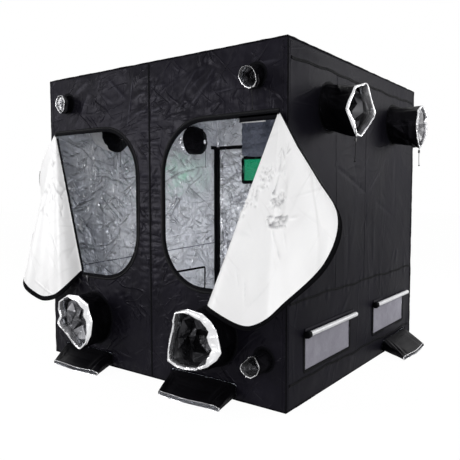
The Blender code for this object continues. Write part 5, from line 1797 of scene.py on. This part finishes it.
def make_inner_sleeves(paint):
    """Two duct sleeves pushed into the tent and tied shut: foil by the wall, black cloth at the tied end"""
    columns, count = 96, 44
    angles = full_turn(columns)
    for word, place, lean, drop, turned, slim, length in INNER_SLEEVES:
        name = f"left_{word}_inner_sleeve"
        random = np.random.default_rng(len(word))
        around, run = np.meshgrid(angles * 0.14, np.linspace(0, length, count))
        region = (0, 0, 0.88, length)
        dents = creases(around, run, 81, 50, region, (88, 70, 110), 14, 0.16, 0.012, 0.014)
        rows = []
        for number in range(count):
            share = number / (count - 1)
            neck = fade(share, 0.7, 1.0)
            waist = (slim - 0.018) * fade(share, 0.02, turned + 0.1)
            radius = (DUCT_RADIUS - 0.0013 - waist) * (1 - neck) + 0.019 * neck
            bulge = 0.014 * math.sin(min(share / 0.85, 1) * math.pi)
            pleats = 0.006 * np.sin(angles * 9 + random.uniform(0, 6))
            pleats = pleats * fade(share, 0.6, 0.9) * (1 - 0.5 * neck)
            size = radius + bulge + pleats + dents[number] * fade(share, 0.05, 0.3) * (1 - neck)
            u = place + lean * length * share + size * np.cos(angles)
            v = DUCT_HEIGHT - drop * share**1.5 + size * np.sin(angles) * (1 + waist * 4)
            rows.append(on_wall("left", u, v, -length * share))
        chart = np.stack(np.meshgrid(angles * DUCT_RADIUS, np.arange(count) * 0.005), axis=2)
        layers = [paint["sleeve"], paint["door lining" if word == "front" else "lining"], paint["tape"]]
        faces = grid_faces(count, columns, True)[:, ::-1]
        obj = mesh_object(f"{name}_cloth", np.array(rows), faces, layers, chart)
        for face in obj.data.polygons:
            if face.index // columns < turned * count:
                face.material_index = 1
        settle(thicken(obj, SLEEVE_SHELL), "tent", "black_cloth", name)
        flange = port_flange(name, "left", (place, DUCT_HEIGHT), DUCT_RADIUS, paint["lining"], inside=True)


# Cords, frame and the rest of the carried solids


def make_cords(paint):
    for name, route in CORDS.items():
        smooth = through(route, 8)
        length = length_of(smooth)
        curve = bpy.data.curves.new(f"{name}_braid", "CURVE")
        curve.dimensions = "3D"
        curve.bevel_depth = CORD_RADIUS
        curve.bevel_resolution = 3
        curve.use_fill_caps = True
        line = resampled(smooth, round(length / 0.006))
        spline = curve.splines.new("POLY")
        spline.points.add(len(line) - 1)
        for point, place in zip(spline.points, line):
            point.co = (*place, 1.0)
        curve.materials.append(paint["cord"])
        obj = bpy.data.objects.new(f"{name}_braid", curve)
        bpy.context.scene.collection.objects.link(obj)
        settle(obj, "tent", "drawcord", *([name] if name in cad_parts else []))
        knot = make_knot(f"{name}_knot", line[-1], paint)


KNOT_CORD_RADIUS = 0.0017


def make_knot(name, place, paint):
    """A small overhand knot at a cord's end: a tight three-turn loop"""
    points, line = [], []
    count, sides = 72, 10
    for step in range(count):
        t = 2 * math.pi * step / count
        radius = 0.0034 * (1 + 0.3 * math.cos(3 * t))
        turn = (radius * math.cos(2 * t), radius * math.sin(2 * t), 0.0022 * math.sin(3 * t) - 0.002)
        line.append(np.array(place) + np.array(turn))
    line = np.array(line)
    forward = np.roll(line, -1, axis=0) - np.roll(line, 1, axis=0)
    forward /= np.linalg.norm(forward, axis=1)[:, None]
    for spot, way in zip(line, forward):
        first, second = square_to(way, (0.1, 0.2, 0.97))
        for step in range(sides):
            angle = 2 * math.pi * step / sides
            points.append(spot + (first * math.cos(angle) + second * math.sin(angle)) * KNOT_CORD_RADIUS)
    faces = grid_faces(count + 1, sides, True) % (count * sides)
    obj = outwards_facing(mesh_object(name, points, faces, [paint["cord"]]))
    return settle(obj, "tent", "drawcord")


def finish_solids(paint):
    """Materials for the solids that stay in view"""
    for name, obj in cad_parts.items():
        if obj.hide_render:
            continue
        if name == "view_window":
            kind = "film"
        elif name.endswith("_slider"):
            kind = "metal"
        elif name.endswith("_toggle"):
            kind = "plastic"
        else:
            kind = "steel"
        obj.data.materials.clear()
        obj.data.materials.append(paint[kind])


# Studio


def seen_rays(tree):
    """1 for the rays that show the background: straight, in gloss and through glass"""
    rays = node(tree, "LightPath").outputs
    mirrored_rays = maths(tree, "MAXIMUM", rays["Is Glossy Ray"], rays["Is Transmission Ray"])
    return maths(tree, "MAXIMUM", rays["Is Camera Ray"], mirrored_rays)


def make_studio():
    bpy.ops.mesh.primitive_plane_add(size=60, location=(0, 0, -0.0006))
    floor = bpy.context.object
    floor.name = "studio_floor"
    material = bpy.data.materials.new("studio floor")
    material.use_nodes = True
    tree = material.node_tree
    shader = tree.nodes["Principled BSDF"]
    shader.inputs["Base Color"].default_value = (0.5, 0.5, 0.5, 1)
    shader.inputs["Roughness"].default_value = 0.9
    shader.inputs["Specular IOR Level"].default_value = 0.1
    seen = seen_rays(tree)
    shine = node(tree, "Emission", {"Color": (1, 1, 1, 1), "Strength": 1.1})
    blend_over(tree, shader, maths(tree, "MULTIPLY", seen, 0.88), shine)
    floor.data.materials.append(material)

    world = bpy.data.worlds.new("studio")
    bpy.context.scene.world = world
    world.use_nodes = True
    tree = world.node_tree
    seen = seen_rays(tree)
    strength = spread_to(tree, seen, 0.0, 1.0, 0.36, 1.0)
    tree.links.new(strength, tree.nodes["Background"].inputs["Strength"])
    tree.nodes["Background"].inputs["Color"].default_value = (1, 1, 1, 1)

    # name, place, what it is aimed at, size, watts, spread
    lamps = (
        ("flash_softbox", (2.2, -6.4, 2.4), (-0.3, -0.2, 1.0), 1.6, 124, 180),
        ("front_softbox", (-3.5, -4.8, 1.7), (0.0, -1.0, 1.35), 1.5, 108, 180),
        ("side_softbox", (3.9, 3.2, 2.3), (1.0, -0.1, 1.45), 1.9, 110, 180),
        ("doorway_lamp", (0.45, -0.92, 1.05), (-0.75, 1.0, 0.9), 0.4, 6.0, 84),
        ("rear_lamp", (1.0, 2.98, 1.57), (-0.52, 1.0, 1.415), 1.1, 2.6, 40),
    )
    for name, place, target, size, power, spread in lamps:
        data = bpy.data.lights.new(name, "AREA")
        data.size = size
        data.energy = power
        data.spread = math.radians(spread)
        lamp = bpy.data.objects.new(name, data)
        lamp.location = place
        lamp.rotation_euler = (Vector(target) - Vector(place)).to_track_quat("-Z", "Y").to_euler()
        bpy.context.scene.collection.objects.link(lamp)
    bpy.context.scene.view_settings.view_transform = "Standard"


add_camera()
PAINT = make_materials()
make_cords(PAINT)
make_walls(PAINT)
make_seams(PAINT)
make_piping(PAINT)
make_door("right", 1, RIGHT_EDGE, RIGHT_FOLDS, right_wrinkle, RIGHT_BAND, PAINT)
make_door("left", -1, LEFT_EDGE, LEFT_FOLDS, left_wrinkle, LEFT_BAND, PAINT)
make_front_zips(PAINT)
make_rear(PAINT)
make_post_cover(PAINT)
make_curtain(PAINT)
make_lining_trims(PAINT)
make_vents(PAINT)
for sleeve in SLEEVES:
    make_sleeve(sleeve, PAINT)
for sleeve, (side, middle, sway) in FLOOR_SLEEVES.items():
    make_flat_sleeve(sleeve, side, middle, sway, PAINT)
make_inner_sleeves(PAINT)
finish_solids(PAINT)
make_studio()
